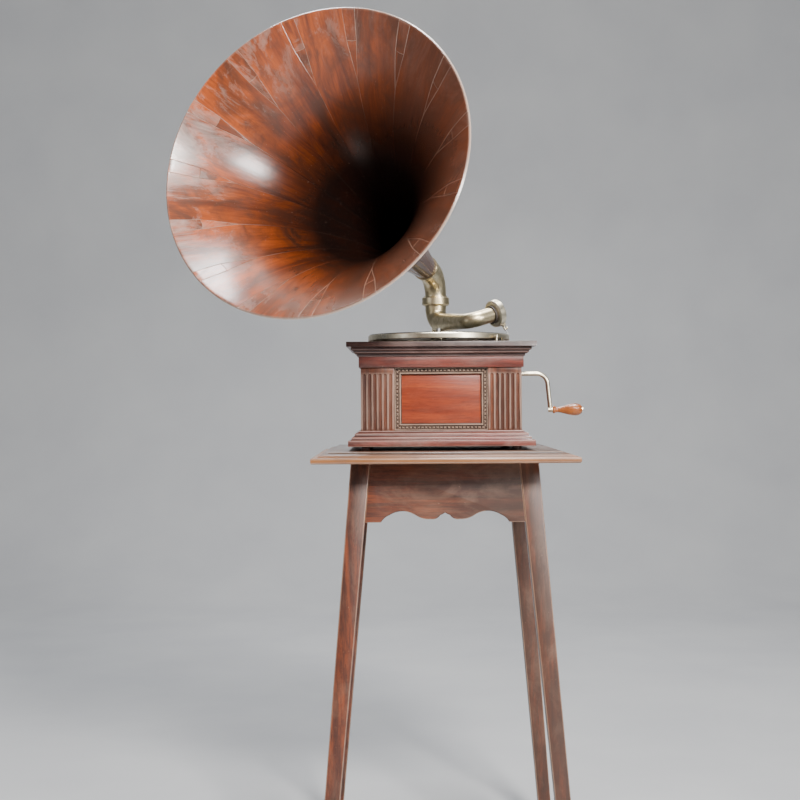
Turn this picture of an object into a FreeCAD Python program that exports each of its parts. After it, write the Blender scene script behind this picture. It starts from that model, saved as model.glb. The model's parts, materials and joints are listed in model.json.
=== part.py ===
"""Wind up table phonograph with a spear-tip wooden horn, on its splay-legged stand.

Millimetres, +Z up. The model is drawn about the point on the floor under the turntable spindle; the
front faces -Y and the crank is on the +X side. Driving sizes are cells of the Sizes sheet, and every
sub-part is an object of this document, exported to parts/ under its label.
"""
import FreeCAD, Part
import math
import os
import re

import Sketcher
from FreeCAD import Placement, Rotation, Vector
from fcgear import fcgear, involute

doc = FreeCAD.newDocument("WindUpPhonograph")
sheet = doc.addObject("Spreadsheet::Sheet", "Sizes")

SIZES = {
    # stand
    "stand_height": 740, "stand_side": 446, "stand_top_thick": 19, "stand_shift": 4.5,
    "stand_flat_half": 191, "stand_cove_half": 214, "stand_edge_thick": 10,
    "leg_out_top": 158.6, "leg_out_foot": 217, "leg_side_top": 32.4, "leg_side_foot": 24,
    "apron_depth": 101, "apron_thick": 18, "apron_setback": 2, "corner_block_side": 34,
    "corner_block_height": 20,
    # case, as heights above the stand and half widths from the middle
    "foot_height": 7.4, "foot_radius": 8.25, "foot_offset": 128.8,
    "base_height": 26.2, "base_half": 158.5, "wall_height": 107.8, "body_half": 137,
    "wall_inner_half": 123.5, "pilaster_start": 80, "panel_face_half": 128.5, "panel_thick": 8,
    "bottom_thick": 8, "mould_width": 12.8, "mould_rise": 6, "frieze_height": 18.6, "frieze_half": 140.2,
    "cornice_height": 16.4, "slab_height": 8.3, "slab_half": 160.7, "plug_height": 8.4, "plug_half": 123,
    "flute_count": 6, "flute_pitch": 8.8, "flute_radius": 3.1, "flute_drop": 13.5, "flute_depth": 2,
    # turntable and spindle
    "platter_radius": 127, "platter_gap": 7.3, "platter_height": 9.5, "platter_skin": 3, "rim_wall": 3,
    "felt_thick": 1.2, "shaft_radius": 5, "record_pin_radius": 3.55, "record_pin_height": 13,
    "fit": 0.05,
    # motor
    "plate_thick": 4, "motor_height": 96, "pillar_radius": 4, "plate_left": 56, "plate_right": 104,
    "plate_half_depth": 48, "pillar_inset": 6, "barrel_place": 60, "barrel_radius": 33,
    "barrel_height": 30, "barrel_wall": 2, "wheel_thick": 3, "pinion_length": 7,
    "barrel_teeth": 72, "wheel_teeth": 60, "pinion_teeth": 12,
    "governor_wheel_teeth": 54, "governor_pinion_teeth": 18, "barrel_module": 1, "train_module": 0.8,
    "mesh_gap": 0.2, "arbor_radius": 4, "bevel_module": 1.5, "bevel_wheel_teeth": 32,
    "bevel_pinion_teeth": 16, "bevel_keep": 0.68, "bevel_drop": 0.5, "intermediate_radius": 2.5,
    "spindle_root_radius": 2.2, "governor_radius": 2, "governor_disc_radius": 19, "disc_thick": 3,
    "disc_height": 11, "governor_reach": 11, "screw_hole_radius": 2.1,
    # crank
    "crank_axis_drop": 52.7, "crank_rod_radius": 3.9, "crank_start": 139, "crank_corner": 194,
    "crank_bend": 20, "crank_end_out": 200.5, "crank_throw": 65, "knob_start": 205, "knob_length": 52.4,
    "knob_radius": 11, "knob_pin_radius": 2.5,
    # bracket, horn elbow and horn
    "pivot_back": 185, "collar_height": 17, "collar_bottom": 83.3, "collar_radius": 26.35,
    "pipe_radius": 20.4, "pipe_bore": 16.4, "pipe_wall": 1.6, "elbow_bend": 45, "elbow_rise": 3,
    "socket_length": 22, "socket_radius": 23.6, "lip_width": 0.8, "lip_length": 2.5,
    "ferrule_depth": 10, "ferrule_reach": 8, "ferrule_bore": 14.9, "ferrule_taper": 0.7,
    "horn_turn": 22.1, "horn_tilt": 14.4, "horn_length": 507, "horn_small_radius": 21.5,
    "horn_taper": 70.5, "horn_flare": 171, "horn_power": 2.9, "horn_wall": 5, "stave_count": 15,
    "wedge_tip_radius": 177, "wedge_joint_radius": 222, "wedge_joint_half": 9, "wedge_rim_half": 13,
    "bracket_screw_out": 15, "bracket_hole_radius": 2.3, "bracket_web": 14,
    # tone arm and sound box
    "arm_height": 50, "crook_height": 45.3, "box_height": 61.4, "arm_elbow_bend": 28, "arm_radius": 14,
    "arm_wall": 1.3, "crook_x": 61, "crook_y": 42, "crook_bend": 17, "crook_joint": 34,
    "box_x": 110, "box_y": 73, "box_start": 46,
    "box_radius": 25.2, "chuck_length": 12, "needle_radius": 0.8, "needle_clearance": 2.1,
    # brake and speed control
    "brake_x": 98, "brake_y": -90, "speed_x": -114, "speed_y": 74,
}

for row, (alias, number) in enumerate(SIZES.items(), start=1):
    sheet.set("A%d" % row, alias.replace("_", " "))
    sheet.set("B%d" % row, str(number))
    sheet.setAlias("B%d" % row, alias)
doc.recompute()

NODES = {}
UP = Vector(0, 0, 1)
ORIGIN = Vector(0, 0, 0)
ALONG_X = Rotation(Vector(0, 1, 0), 90)
ALONG_Y = Rotation(Vector(1, 0, 0), -90)


# ---------------------------------------------------------------- the sheet and the document

def size(formula):
    """The number that a formula of sheet aliases stands for."""
    return float(sheet.evalExpression(str(formula)))


def linked(formula):
    """The formula with each alias written as a reference to the sheet."""
    def refer(match):
        word = match.group(0)
        return "Sizes." + word if word in SIZES else word
    return re.sub(r"[a-z][a-z_0-9]*", refer, str(formula))


def bind(item, **properties):
    """Binds properties of a document object to formulas of the sheet."""
    for name, formula in properties.items():
        item.setExpression(name, linked(formula))


def place(item, x=0, y=0, z=0, turn=None):
    """Puts an object at a place given by formulas, turned by a Rotation."""
    item.Placement = Placement(Vector(size(x), size(y), size(z)), turn or Rotation())
    for axis, formula in (("x", x), ("y", y), ("z", z)):
        item.setExpression("Placement.Base." + axis, linked(formula))
    return item


def node(name, item):
    """Publishes an object as the sub-part of that name."""
    item.Label = name
    NODES[name] = item
    return item


# ---------------------------------------------------------------- shapes bound to the sheet

def box(name, length, width, height, x=0, y=0, z=0, turn=None):
    item = doc.addObject("Part::Box", name)
    bind(item, Length=length, Width=width, Height=height)
    return place(item, x, y, z, turn)


def cylinder(name, radius, height, x=0, y=0, z=0, turn=None):
    item = doc.addObject("Part::Cylinder", name)
    bind(item, Radius=radius, Height=height)
    return place(item, x, y, z, turn)


def cut(name, base, tool):
    item = doc.addObject("Part::Cut", name)
    item.Base = base
    item.Tool = tool
    return item


def joined(kind, name, items):
    """A Part boolean or compound of several objects: kind is MultiFuse, MultiCommon or Compound."""
    item = doc.addObject("Part::" + kind, name)
    if kind == "Compound":
        item.Links = items
    else:
        item.Shapes = items
    return item


def fuse(name, *items):
    return joined("MultiFuse", name, list(items))


def common(name, *items):
    return joined("MultiCommon", name, list(items))


def group(name, items):
    return joined("Compound", name, list(items))


def closed_sketch(body, name, outline, plane):
    """A closed sketch through points given by formulas, on one of the body's origin planes."""
    sketch = body.newObject("Sketcher::SketchObject", name)
    origin_plane = [item for item in body.Origin.OriginFeatures if item.Role == plane][0]
    sketch.AttachmentSupport = [(origin_plane, "")]
    sketch.MapMode = "FlatFace"
    corners = [Vector(size(across), size(up), 0) for across, up in outline]
    count = len(corners)
    sketch.addGeometry([Part.LineSegment(corners[i], corners[(i + 1) % count]) for i in range(count)], False)
    for i in range(count):
        sketch.addConstraint(Sketcher.Constraint("Coincident", i, 2, (i + 1) % count, 1))
    for i, formulas in enumerate(outline):
        for kind, formula in zip(("DistanceX", "DistanceY"), formulas):
            datum = sketch.addConstraint(Sketcher.Constraint(kind, -1, 1, i, 1, size(formula)))
            if re.search("[a-z]", str(formula)):
                sketch.setExpression("Constraints[%d]" % datum, linked(formula))
    return sketch


def outlined_body(name, outline, plane):
    """A body and its first sketch, on one of the body's origin planes."""
    body = doc.addObject("PartDesign::Body", name)
    doc.recompute()
    return body, closed_sketch(body, name + "Outline", outline, plane)


def turned(name, outline, x=0, y=0, z=0, turn=None):
    """A piece turned about its own Z from an outline of (radius, height) points."""
    body, sketch = outlined_body(name, outline, "XZ_Plane")
    revolution = body.newObject("PartDesign::Revolution", name + "Turned")
    revolution.Profile = sketch
    revolution.ReferenceAxis = (sketch, ["V_Axis"])
    revolution.Angle = 360
    sketch.Visibility = False
    return place(body, x, y, z, turn)


def padded(name, outline, length, plane="XY_Plane", both_ways=False, x=0, y=0, z=0, turn=None):
    """A piece of one outline, padded off its plane or the same way to both sides of it."""
    body, sketch = outlined_body(name, outline, plane)
    pad = body.newObject("PartDesign::Pad", name + "Pad")
    pad.Profile = sketch
    pad.SideType = "Symmetric" if both_ways else "One side"
    bind(pad, Length=length)
    return place(body, x, y, z, turn)


def ring_outline(inner, outer, low, high):
    return [(inner, low), (outer, low), (outer, high), (inner, high)]


def feature(name, shape, placement=None):
    """A free shape made from the sheet's values, with its placement set after its shape."""
    item = doc.addObject("Part::Feature", name)
    item.Shape = shape
    item.Placement = (placement or Placement()) * shape.Placement
    return item


# ---------------------------------------------------------------- heights used by many sub-parts

CASE = "stand_height + foot_height"
WALL = CASE + " + base_height"
FRIEZE = WALL + " + wall_height"
CORNICE = FRIEZE + " + frieze_height"
SLAB = CORNICE + " + cornice_height"
TOP = SLAB + " + slab_height"
BOARD_UNDER = SLAB + " - plug_height"
PLATTER = TOP + " + platter_gap"
FELT = PLATTER + " + platter_height"
CRANK = TOP + " - crank_axis_drop"
PLATE_LOW = BOARD_UNDER + " - motor_height"


def offset(base, amount):
    return "%s + (%s)" % (base, amount)


def quarter(index):
    return Rotation(UP, 90 * index)


# ---------------------------------------------------------------- stand

def moulded_board(name, outline):
    """A square board whose four edges have one moulded outline, mitred at the corners."""
    along_x = padded(name + "AlongX", outline, "stand_side", "YZ_Plane", True)
    along_y = padded(name + "AlongY", outline, "stand_side", "YZ_Plane", True, turn=quarter(1))
    return common(name, along_x, along_y)


def stand_top():
    low = "stand_height - stand_top_thick"
    edge = offset(low, "stand_edge_thick")
    right = [("stand_side / 2 - 2", low), ("stand_side / 2", low + " + 2"),
             ("stand_side / 2", edge + " - 2"), ("stand_side / 2 - 2", edge),
             ("stand_cove_half", edge), ("stand_cove_half - 4", edge + " + 3.5"),
             ("stand_flat_half + 4", "stand_height - 2.5"), ("stand_flat_half + 4", "stand_height - 1"),
             ("stand_flat_half", "stand_height")]
    left = [("-(%s)" % across, up) for across, up in reversed(right)]
    board = moulded_board("StandTop", right + left)
    node("stand_top", place(board, x="stand_shift"))


def leg(name, index):
    """A square leg that splays out and tapers, as a loft between its foot and its top."""
    body, foot = outlined_body(name, leg_square("leg_out_foot", "leg_side_foot"), "XY_Plane")
    top = closed_sketch(body, name + "Top", leg_square("leg_out_top", "leg_side_top"), "XY_Plane")
    bind(top, **{"AttachmentOffset.Base.z": "stand_height - stand_top_thick"})
    loft = body.newObject("PartDesign::AdditiveLoft", name + "Loft")
    loft.Profile = foot
    loft.Sections = [top]
    loft.Ruled = True
    return place(body, x="stand_shift", turn=quarter(index))


def leg_square(outer, side):
    inner = "%s - %s" % (outer, side)
    return [(inner, inner), (outer, inner), (outer, outer), (inner, outer)]


SCALLOPS = [(108, 0), (101, 8), (94, 12), (72, 18.5), (50, 12), (40, 7), (24, 5), (13, 7), (8, 12),
            (3, 14), (0, 16)]


def scalloped_board():
    """An apron's face, upright over the X axis: SCALLOPS holds its lower edge from leg to middle."""
    top = size("stand_height - stand_top_thick")
    low = top - size("apron_depth")
    end_top, end_foot = size("leg_out_top - leg_side_top"), size("leg_out_foot - leg_side_foot")
    end_low = end_top + (end_foot - end_top) * (top - low) / top
    edge = [Vector(across, 0, low + up) for across, up in SCALLOPS]
    corners = [Vector(0, 0, top), Vector(end_top, 0, top), Vector(end_low, 0, low), edge[0]]
    half = [Part.LineSegment(one, other).toShape() for one, other in zip(corners, corners[1:])]
    half += [Part.Arc(*edge[i:i + 3]).toShape() for i in range(0, len(edge) - 2, 2)]
    mirrored = [line.mirror(ORIGIN, Vector(1, 0, 0)) for line in half]
    return Part.Face(Part.Wire(Part.__sortEdges__(half + mirrored)))


def apron(name, index):
    """A scalloped board between two legs: its ends follow the legs and it leans out as they do."""
    top, depth, thick = size("stand_height - stand_top_thick"), size("apron_depth"), size("apron_thick")
    board = scalloped_board().extrude(Vector(0, -size("stand_side"), 0))
    outer_top = size("leg_out_top - apron_setback")
    outer_low = outer_top + size("leg_out_foot - leg_out_top") * depth / top
    end = -size("stand_side / 2")
    section = Part.makePolygon([Vector(end, -outer_top, top), Vector(end, -outer_low, top - depth),
                                Vector(end, thick - outer_low, top - depth),
                                Vector(end, thick - outer_top, top), Vector(end, -outer_top, top)])
    leaning = Part.Face(section).extrude(Vector(size("stand_side"), 0, 0))
    return feature(name, board.common(leaning).Solids[0],
                   Placement(Vector(size("stand_shift"), 0, 0), quarter(index)))


def stand():
    stand_top()
    node("stand_legs", group("StandLegs", [leg("Leg%d" % i, i) for i in range(4)]))
    node("stand_aprons", group("StandAprons", [apron("Apron%d" % i, i) for i in range(4)]))
    under = "stand_height - stand_top_thick"
    start = "leg_out_top - leg_side_top"
    outline = [(start, start), (start, start + " - corner_block_side"),
               (start + " - corner_block_side", start)]
    blocks = [padded("CornerBlock%d" % index, outline, "corner_block_height", x="stand_shift",
                     z=under + " - corner_block_height", turn=quarter(index)) for index in range(4)]
    node("stand_corner_blocks", group("CornerBlocks", blocks))


# ---------------------------------------------------------------- case

def mitred_frame(name, outline, reach, z):
    """Strips of one section around a square, each cut to 45 degrees at both ends."""
    strips = []
    for index in range(4):
        strip = padded("%sStrip%d" % (name, index), outline, "2 * (%s)" % reach, "YZ_Plane", True,
                       z=z, turn=quarter(index))
        corners = [(0, 0), ("2 * slab_half", "2 * slab_half"), ("-2 * slab_half", "2 * slab_half")]
        wedge = padded("%sMitre%d" % (name, index), corners, "4 * base_height", "XY_Plane", True,
                       z=z, turn=quarter(index))
        strips.append(common("%sMitred%d" % (name, index), strip, wedge))
    return strips


def case_feet():
    feet = []
    for index in range(4):
        spot = quarter(index).multVec(Vector(size("foot_offset"), size("foot_offset"), 0))
        feet.append(cylinder("Foot%d" % index, "foot_radius", "foot_height", spot.x, spot.y,
                             "stand_height"))
    node("case_feet", group("CaseFeet", feet))


def case_mouldings():
    base = [("wall_inner_half", 0), ("base_half", 0), ("base_half", 10.1), ("base_half - 4", 10.1),
            ("base_half - 6.1", 12), ("base_half - 6.1", 15), ("base_half - 10.8", 17.5),
            ("base_half - 10.8", 21.5), ("base_half - 17.9", 24), ("base_half - 17.9", "base_height"),
            ("wall_inner_half", "base_height")]
    node("base_moulding", group("BaseMoulding", mitred_frame("Base", base, "base_half", z=CASE)))
    frieze = ring_outline("wall_inner_half", "frieze_half", 0, "frieze_height")
    node("frieze_rails", group("FriezeRails", mitred_frame("Frieze", frieze, "frieze_half", z=FRIEZE)))
    cornice = [("wall_inner_half", 0), ("frieze_half + 2.3", 0), ("frieze_half + 2.3", 3.5),
               ("frieze_half + 6", 4.5), ("frieze_half + 8.5", 6.5), ("frieze_half + 8.5", 9),
               ("frieze_half + 12.8", 11), ("frieze_half + 12.8", "cornice_height"),
               ("wall_inner_half", "cornice_height")]
    strips = mitred_frame("Cornice", cornice, "slab_half", z=CORNICE)
    node("cornice_moulding", group("CorniceMoulding", strips))


def case_boards():
    half = "wall_inner_half - 0.5"
    node("bottom_board", box("BottomBoard", "2 * (%s)" % half, "2 * (%s)" % half, "bottom_thick",
                             "-(%s)" % half, "-(%s)" % half, CASE + " + 2"))
    slab = box("Slab", "2 * slab_half", "2 * slab_half", "slab_height", "-slab_half", "-slab_half", SLAB)
    plug = box("Plug", "2 * plug_half", "2 * plug_half", "plug_height", "-plug_half", "-plug_half",
               BOARD_UNDER)
    board = fuse("TopBoardBlank", slab, plug)
    deep = "slab_height + plug_height"
    holes = [cylinder("SpindleHole", "shaft_radius + 3", deep, 0, 0, BOARD_UNDER),
             cylinder("SpeedHole", "bracket_hole_radius", deep, "speed_x", "speed_y", BOARD_UNDER)]
    holes += [cylinder("MotorScrewHole%d" % i, "screw_hole_radius", deep, x, y, BOARD_UNDER)
              for i, (x, y) in enumerate(pillar_places())]
    node("top_board", cut("TopBoard", board, group("BoardHoles", holes)))


def flute(name, x, y):
    """A round-bottomed groove with a domed top, as the tool that cuts it."""
    top = "wall_height - flute_drop"
    shaft = cylinder(name + "Shaft", "flute_radius", top, x, y, WALL)
    dome = doc.addObject("Part::Sphere", name + "Dome")
    bind(dome, Radius="flute_radius")
    place(dome, x, y, offset(WALL, top))
    return [shaft, dome]


def corner_posts():
    """Four angled pilasters, fluted on both outer faces."""
    posts = []
    for index in range(4):
        outline = [("wall_inner_half", "pilaster_start"), ("body_half", "pilaster_start"),
                   ("body_half", "body_half"), ("pilaster_start", "body_half"),
                   ("pilaster_start", "wall_inner_half"), ("wall_inner_half", "wall_inner_half")]
        blank = padded("Post%d" % index, outline, "wall_height", z=WALL)
        tools = []
        middle = size("(pilaster_start + body_half) / 2")
        for number in range(int(size("flute_count"))):
            along = middle + (number - (size("flute_count") - 1) / 2) * size("flute_pitch")
            face = "body_half + flute_radius - flute_depth"
            tools += flute("FluteA%d%d" % (index, number), along, face)
            tools += flute("FluteB%d%d" % (index, number), face, along)
        fluted = cut("FlutedPost%d" % index, blank, group("Flutes%d" % index, tools))
        posts.append(place(fluted, turn=quarter(index)))
    node("corner_posts", group("CornerPosts", posts))


def panels():
    """Four recessed panels, each in a raised frame: the right one is bored for the crank's bush."""
    names = ["left_panel", "front_panel", "right_panel", "back_panel"]
    frames, plain = [], []
    for index, name in enumerate(names):
        turn = quarter(index - 3)
        blank = box(name + "Board", "2 * pilaster_start", "panel_thick", "wall_height")
        corner = turn.multVec(Vector(-size("pilaster_start"), size("panel_face_half - panel_thick"), 0))
        place(blank, corner.x, corner.y, WALL, turn)
        strips = panel_frame(name, turn)
        if name == "right_panel":
            bore = cylinder("CrankBushBore", 6.4, "body_half - plug_half + 10", "plug_half - 5", 0, CRANK,
                            ALONG_X)
            node("crank_side_panel", cut("CrankSidePanel", blank, bore))
            strips = [cut("BoredFrame%d" % i, strip, bore) for i, strip in enumerate(strips)]
        else:
            plain.append(blank)
        frames += strips
    node("case_panels", group("CasePanels", plain))
    node("panel_frames", group("PanelFrames", frames))


def panel_frame(name, turn):
    """Four mitred strips that frame one panel, standing on the panel's face."""
    wide, tall = size("pilaster_start"), size("wall_height / 2")
    rim, rise = size("mould_width"), size("mould_rise")
    section = [(0, 0), (rim, 0), (rim, rise * 0.35), (rim * 0.8, rise * 0.55), (rim * 0.55, rise),
               (rim * 0.3, rise * 0.85), (rim * 0.15, rise * 0.5), (0, rise * 0.5)]
    strips = []
    for side in range(4):
        reach, half = (wide, tall) if side % 2 else (tall, wide)
        profile = Part.makePolygon([Vector(0, reach - across, up) for across, up in section + section[:1]])
        strip = Part.Face(profile).extrude(Vector(2 * half, 0, 0))
        strip.translate(Vector(-half, 0, 0))
        mitre = Part.makePolygon([Vector(-half, reach, 0), Vector(half, reach, 0),
                                  Vector(half - rim, reach - rim, 0), Vector(rim - half, reach - rim, 0),
                                  Vector(-half, reach, 0)])
        strip = strip.common(Part.Face(mitre).extrude(Vector(0, 0, 2 * rise)))
        strip.rotate(ORIGIN, UP, 90 * side)
        upright = Placement(Vector(0, size("panel_face_half"), size(WALL) + tall), ALONG_Y)
        flipped = Placement(ORIGIN, turn) * upright
        strips.append(feature("%sStrip%d" % (name, side), strip, flipped))
    return strips


# ---------------------------------------------------------------- gears and motor

def pillar_places():
    """The motor's four corners, from the sheet."""
    left, right = "pillar_inset - plate_left", "plate_right - pillar_inset"
    front, back = "pillar_inset - plate_half_depth", "plate_half_depth - pillar_inset"
    return [(left, front), (right, front), (right, back), (left, back)]


def gear_face(module, teeth):
    """The outline of an involute spur gear, with a tooth on +X."""
    wire = fcgear.FCWireBuilder()
    involute.CreateExternalGear(wire, module, teeth, 20)
    return Part.Face(Part.Wire([edge.toShape() for edge in wire.wire]))


def gear(module, teeth, thick, low, bore=0.0, turn=0.0):
    """A spur gear from a height upwards, turned so that a tooth points at an angle."""
    solid = gear_face(module, teeth).extrude(Vector(0, 0, thick))
    if bore:
        solid = solid.cut(Part.makeCylinder(bore, thick, ORIGIN))
    solid.rotate(ORIGIN, UP, turn)
    solid.translate(Vector(0, 0, low))
    return solid


def rod(radius, low, high, x=0.0, y=0.0):
    return Part.makeCylinder(radius, high - low, Vector(x, y, low))


def mesh_distance(module, first, second):
    return module * (first + second) / 2 + size("mesh_gap")


def train_places():
    """Axes of the barrel, the intermediate arbor and the governor, all parallel to the spindle's."""
    barrel = Vector(size("barrel_place"), 0, 0)
    near = mesh_distance(size("train_module"), size("wheel_teeth"), size("pinion_teeth"))
    far = mesh_distance(size("barrel_module"), size("barrel_teeth"), size("pinion_teeth"))
    along = (near ** 2 - far ** 2 + barrel.x ** 2) / (2 * barrel.x)
    return barrel, Vector(along, math.sqrt(near ** 2 - along ** 2), 0), Vector(-near, 0, 0)


def motor_frame():
    """A plate with four cast pillars and an upper plate, from which the crank's bearing hangs."""
    plates = []
    heights = {"motor_top_plate": BOARD_UNDER + " - plate_thick", "LowerPlate": PLATE_LOW}
    barrel, middle, governor = train_places()
    for name, low in heights.items():
        blank = box(name + "Blank", "plate_left + plate_right", "2 * plate_half_depth", "plate_thick",
                    "-plate_left", "-plate_half_depth", low)
        spots = [(0, 0, "shaft_radius"), (barrel.x, 0, "arbor_radius"),
                 (middle.x, middle.y, "intermediate_radius"), (governor.x, 0, "governor_radius")]
        bores = [cylinder("%sBore%d" % (name, i), "%s + fit" % radius, "plate_thick", x, y, low)
                 for i, (x, y, radius) in enumerate(spots)]
        if name == "motor_top_plate":
            tab = box("CrankBearing", "plate_thick", 20, 50, "plate_right - plate_thick", -10,
                      offset(low, -50))
            bores.append(cylinder("CrankBore", "arbor_radius + fit", "3 * plate_thick",
                                  "plate_right - 2 * plate_thick", 0, CRANK, ALONG_X))
            blank = fuse("TopPlateBlank", blank, tab)
            bores += [cylinder("ScrewBore%d" % i, "screw_hole_radius", "plate_thick", x, y, low)
                      for i, (x, y) in enumerate(pillar_places())]
        plates.append(cut(name + "Bored", blank, group(name + "Bores", bores)))
    tall = "motor_height - 2 * plate_thick"
    pillars = []
    for i, (x, y) in enumerate(pillar_places()):
        post = cylinder("Pillar%d" % i, "pillar_radius", tall, x, y, PLATE_LOW + " + plate_thick")
        tapped = cylinder("Tapped%d" % i, "screw_hole_radius", 11, x, y, BOARD_UNDER + " - plate_thick - 11")
        pillars.append(cut("TappedPillar%d" % i, post, tapped))
    node("motor_top_plate", plates[0])
    node("motor_frame", fuse("MotorFrame", plates[1], *pillars))
    shank = "slab_height + plug_height + plate_thick + 8"
    profile = [(0, "-(%s)" % shank), (2, "-(%s)" % shank), (2, 0), (4, 0), (4, 1.4), (3, 2), (0, 2)]
    screws = [turned("MotorScrew%d" % i, profile, x, y, TOP) for i, (x, y) in enumerate(pillar_places())]
    node("motor_screws", group("MotorScrews", screws))


def spring_drive():
    """Barrel with its mainspring, geared cover, arbor and the bevel pair that winds it."""
    barrel, middle = train_places()[:2]
    low = size(PLATE_LOW + " + plate_thick + 3")
    wall, outer, tall = size("barrel_wall"), size("barrel_radius"), size("barrel_height")
    arbor = size("arbor_radius")
    running = arbor + size("fit")
    drum = rod(outer, low, low + tall).cut(rod(outer - wall, low + wall, low + tall))
    drum = drum.cut(rod(running, low - 1, low + 5))
    node("spring_barrel", feature("Barrel", drum, Placement(barrel, Rotation())))
    aim = math.degrees(math.atan2(middle.y, middle.x - barrel.x))
    thick = size("wheel_thick")
    wheel = gear(size("barrel_module"), int(size("barrel_teeth")), thick, low + tall, running, aim)
    node("barrel_wheel", feature("BarrelWheel", wheel, Placement(barrel, Rotation())))
    coil_low, coil_high = low + wall + 0.5, low + tall - 0.5
    strip, pitch, turns = 1.2, 2.0, 12
    radii = [arbor + 3.5 + pitch * i for i in range(turns)]
    coils = [rod(r, coil_low, coil_high).cut(rod(r - strip, coil_low, coil_high)) for r in radii]
    spoke = Part.makeBox(outer - wall - arbor - 2.2, strip, coil_high - coil_low,
                         Vector(arbor + 1.6, -strip / 2, coil_low))
    spring = coils[0].multiFuse(coils[1:] + [spoke])
    node("mainspring", feature("Mainspring", spring, Placement(barrel, Rotation())))
    top = size(BOARD_UNDER) - 0.5
    shaft = rod(arbor, size(PLATE_LOW), top)
    shaft = shaft.fuse(rod(arbor + 1.5, coil_low, coil_high))
    node("barrel_arbor", feature("BarrelArbor", shaft, Placement(barrel, Rotation())))
    winding_pair(barrel)


def bevel(teeth, mate_teeth, turn):
    """A straight bevel gear with its apex at the origin and its axis along +Z below the apex."""
    module, keep = size("bevel_module"), size("bevel_keep")
    distance = module * mate_teeth / 2
    outline = gear_face(module, teeth)
    outline.rotate(ORIGIN, UP, turn)
    big = outline.OuterWire.copy()
    big.scale(0.985)
    big.translate(Vector(0, 0, -distance))
    small = big.copy()
    small.scale(keep)
    return Part.makeLoft([big, small], True, True), distance


def winding_pair(barrel):
    """The crank shaft's pinion and the arbor's wheel, whose axes cross above the barrel."""
    wheel_teeth, pinion_teeth = int(size("bevel_wheel_teeth")), int(size("bevel_pinion_teeth"))
    wheel, wheel_drop = bevel(wheel_teeth, pinion_teeth, 0.0)
    arbor = size("arbor_radius")
    hub = rod(arbor + 5, -wheel_drop - 2, -wheel_drop * size("bevel_keep"))
    wheel = wheel.fuse(hub).cut(rod(arbor, -wheel_drop - 5, 5))
    apex = Vector(barrel.x, 0, size(CRANK) - size("bevel_drop"))
    node("winding_wheel", feature("WindingWheel", wheel, Placement(apex, Rotation())))
    pinion, reach = bevel(pinion_teeth, wheel_teeth, 180.0 / pinion_teeth)
    small_end = reach * size("bevel_keep")
    shaft = Part.makeCylinder(arbor, size("crank_start") - barrel.x - small_end,
                              Vector(0, 0, -(size("crank_start") - barrel.x)))
    pinion = pinion.fuse(shaft)
    across = Rotation(Vector(0, 1, 0), -90)
    centre = Vector(barrel.x, 0, size(CRANK))
    node("crank_shaft", feature("CrankShaft", pinion, Placement(centre, across)))


def gear_train():
    """Intermediate arbor, spindle and governor, all upright between the plates."""
    barrel, middle, governor = train_places()
    module = size("train_module")
    wheel_teeth, pinion_teeth = int(size("wheel_teeth")), int(size("pinion_teeth"))
    low, top = size(PLATE_LOW), size(BOARD_UNDER)
    thick, length = size("wheel_thick"), size("pinion_length")
    half_tooth = 180.0 / pinion_teeth
    fit, thin, root = size("fit"), size("intermediate_radius"), size("spindle_root_radius")
    barrel_top = size(PLATE_LOW + " + plate_thick + 3 + barrel_height")
    to_barrel = math.degrees(math.atan2(barrel.y - middle.y, barrel.x - middle.x))
    to_spindle = math.degrees(math.atan2(-middle.y, -middle.x))

    arbor = rod(thin, low, top - 0.5)
    pinion = gear(size("barrel_module"), pinion_teeth, length, barrel_top - 2, 0, to_barrel + half_tooth)
    upright = Placement(middle, Rotation())
    node("intermediate_arbor", feature("IntermediateArbor", arbor.fuse(pinion), upright))
    high = size(CRANK) + 16
    wheel = gear(module, wheel_teeth, thick, high, thin + fit, to_spindle)
    collar = rod(5, high + thick, high + thick + 3).cut(rod(thin + fit, high, high + 9))
    node("intermediate_wheel", feature("IntermediateWheel", wheel.fuse(collar), upright))

    shaft = size("shaft_radius")
    upper = size(FELT)
    pinion = gear(module, pinion_teeth, length, high - 2, 0, to_spindle + 180 + half_tooth)
    spindle = rod(root, low, high - 2).fuse(pinion).fuse(rod(3.4, high + 5, size(BOARD_UNDER) - 6))
    spindle = spindle.fuse(rod(shaft, size(BOARD_UNDER) - 6, upper))
    spindle = spindle.fuse(rod(size("record_pin_radius"), upper, upper + size("record_pin_height")))
    node("spindle", feature("Spindle", spindle))
    wheel_low = size(CRANK) + 6
    wheel = gear(module, int(size("governor_wheel_teeth")), thick, wheel_low, root + fit, 180.0)
    hub = rod(5, wheel_low - 4, wheel_low).cut(rod(root + fit, wheel_low - 5, wheel_low + 9))
    node("governor_wheel", feature("GovernorWheel", wheel.fuse(hub)))
    governor_parts(governor, wheel_low)


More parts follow.
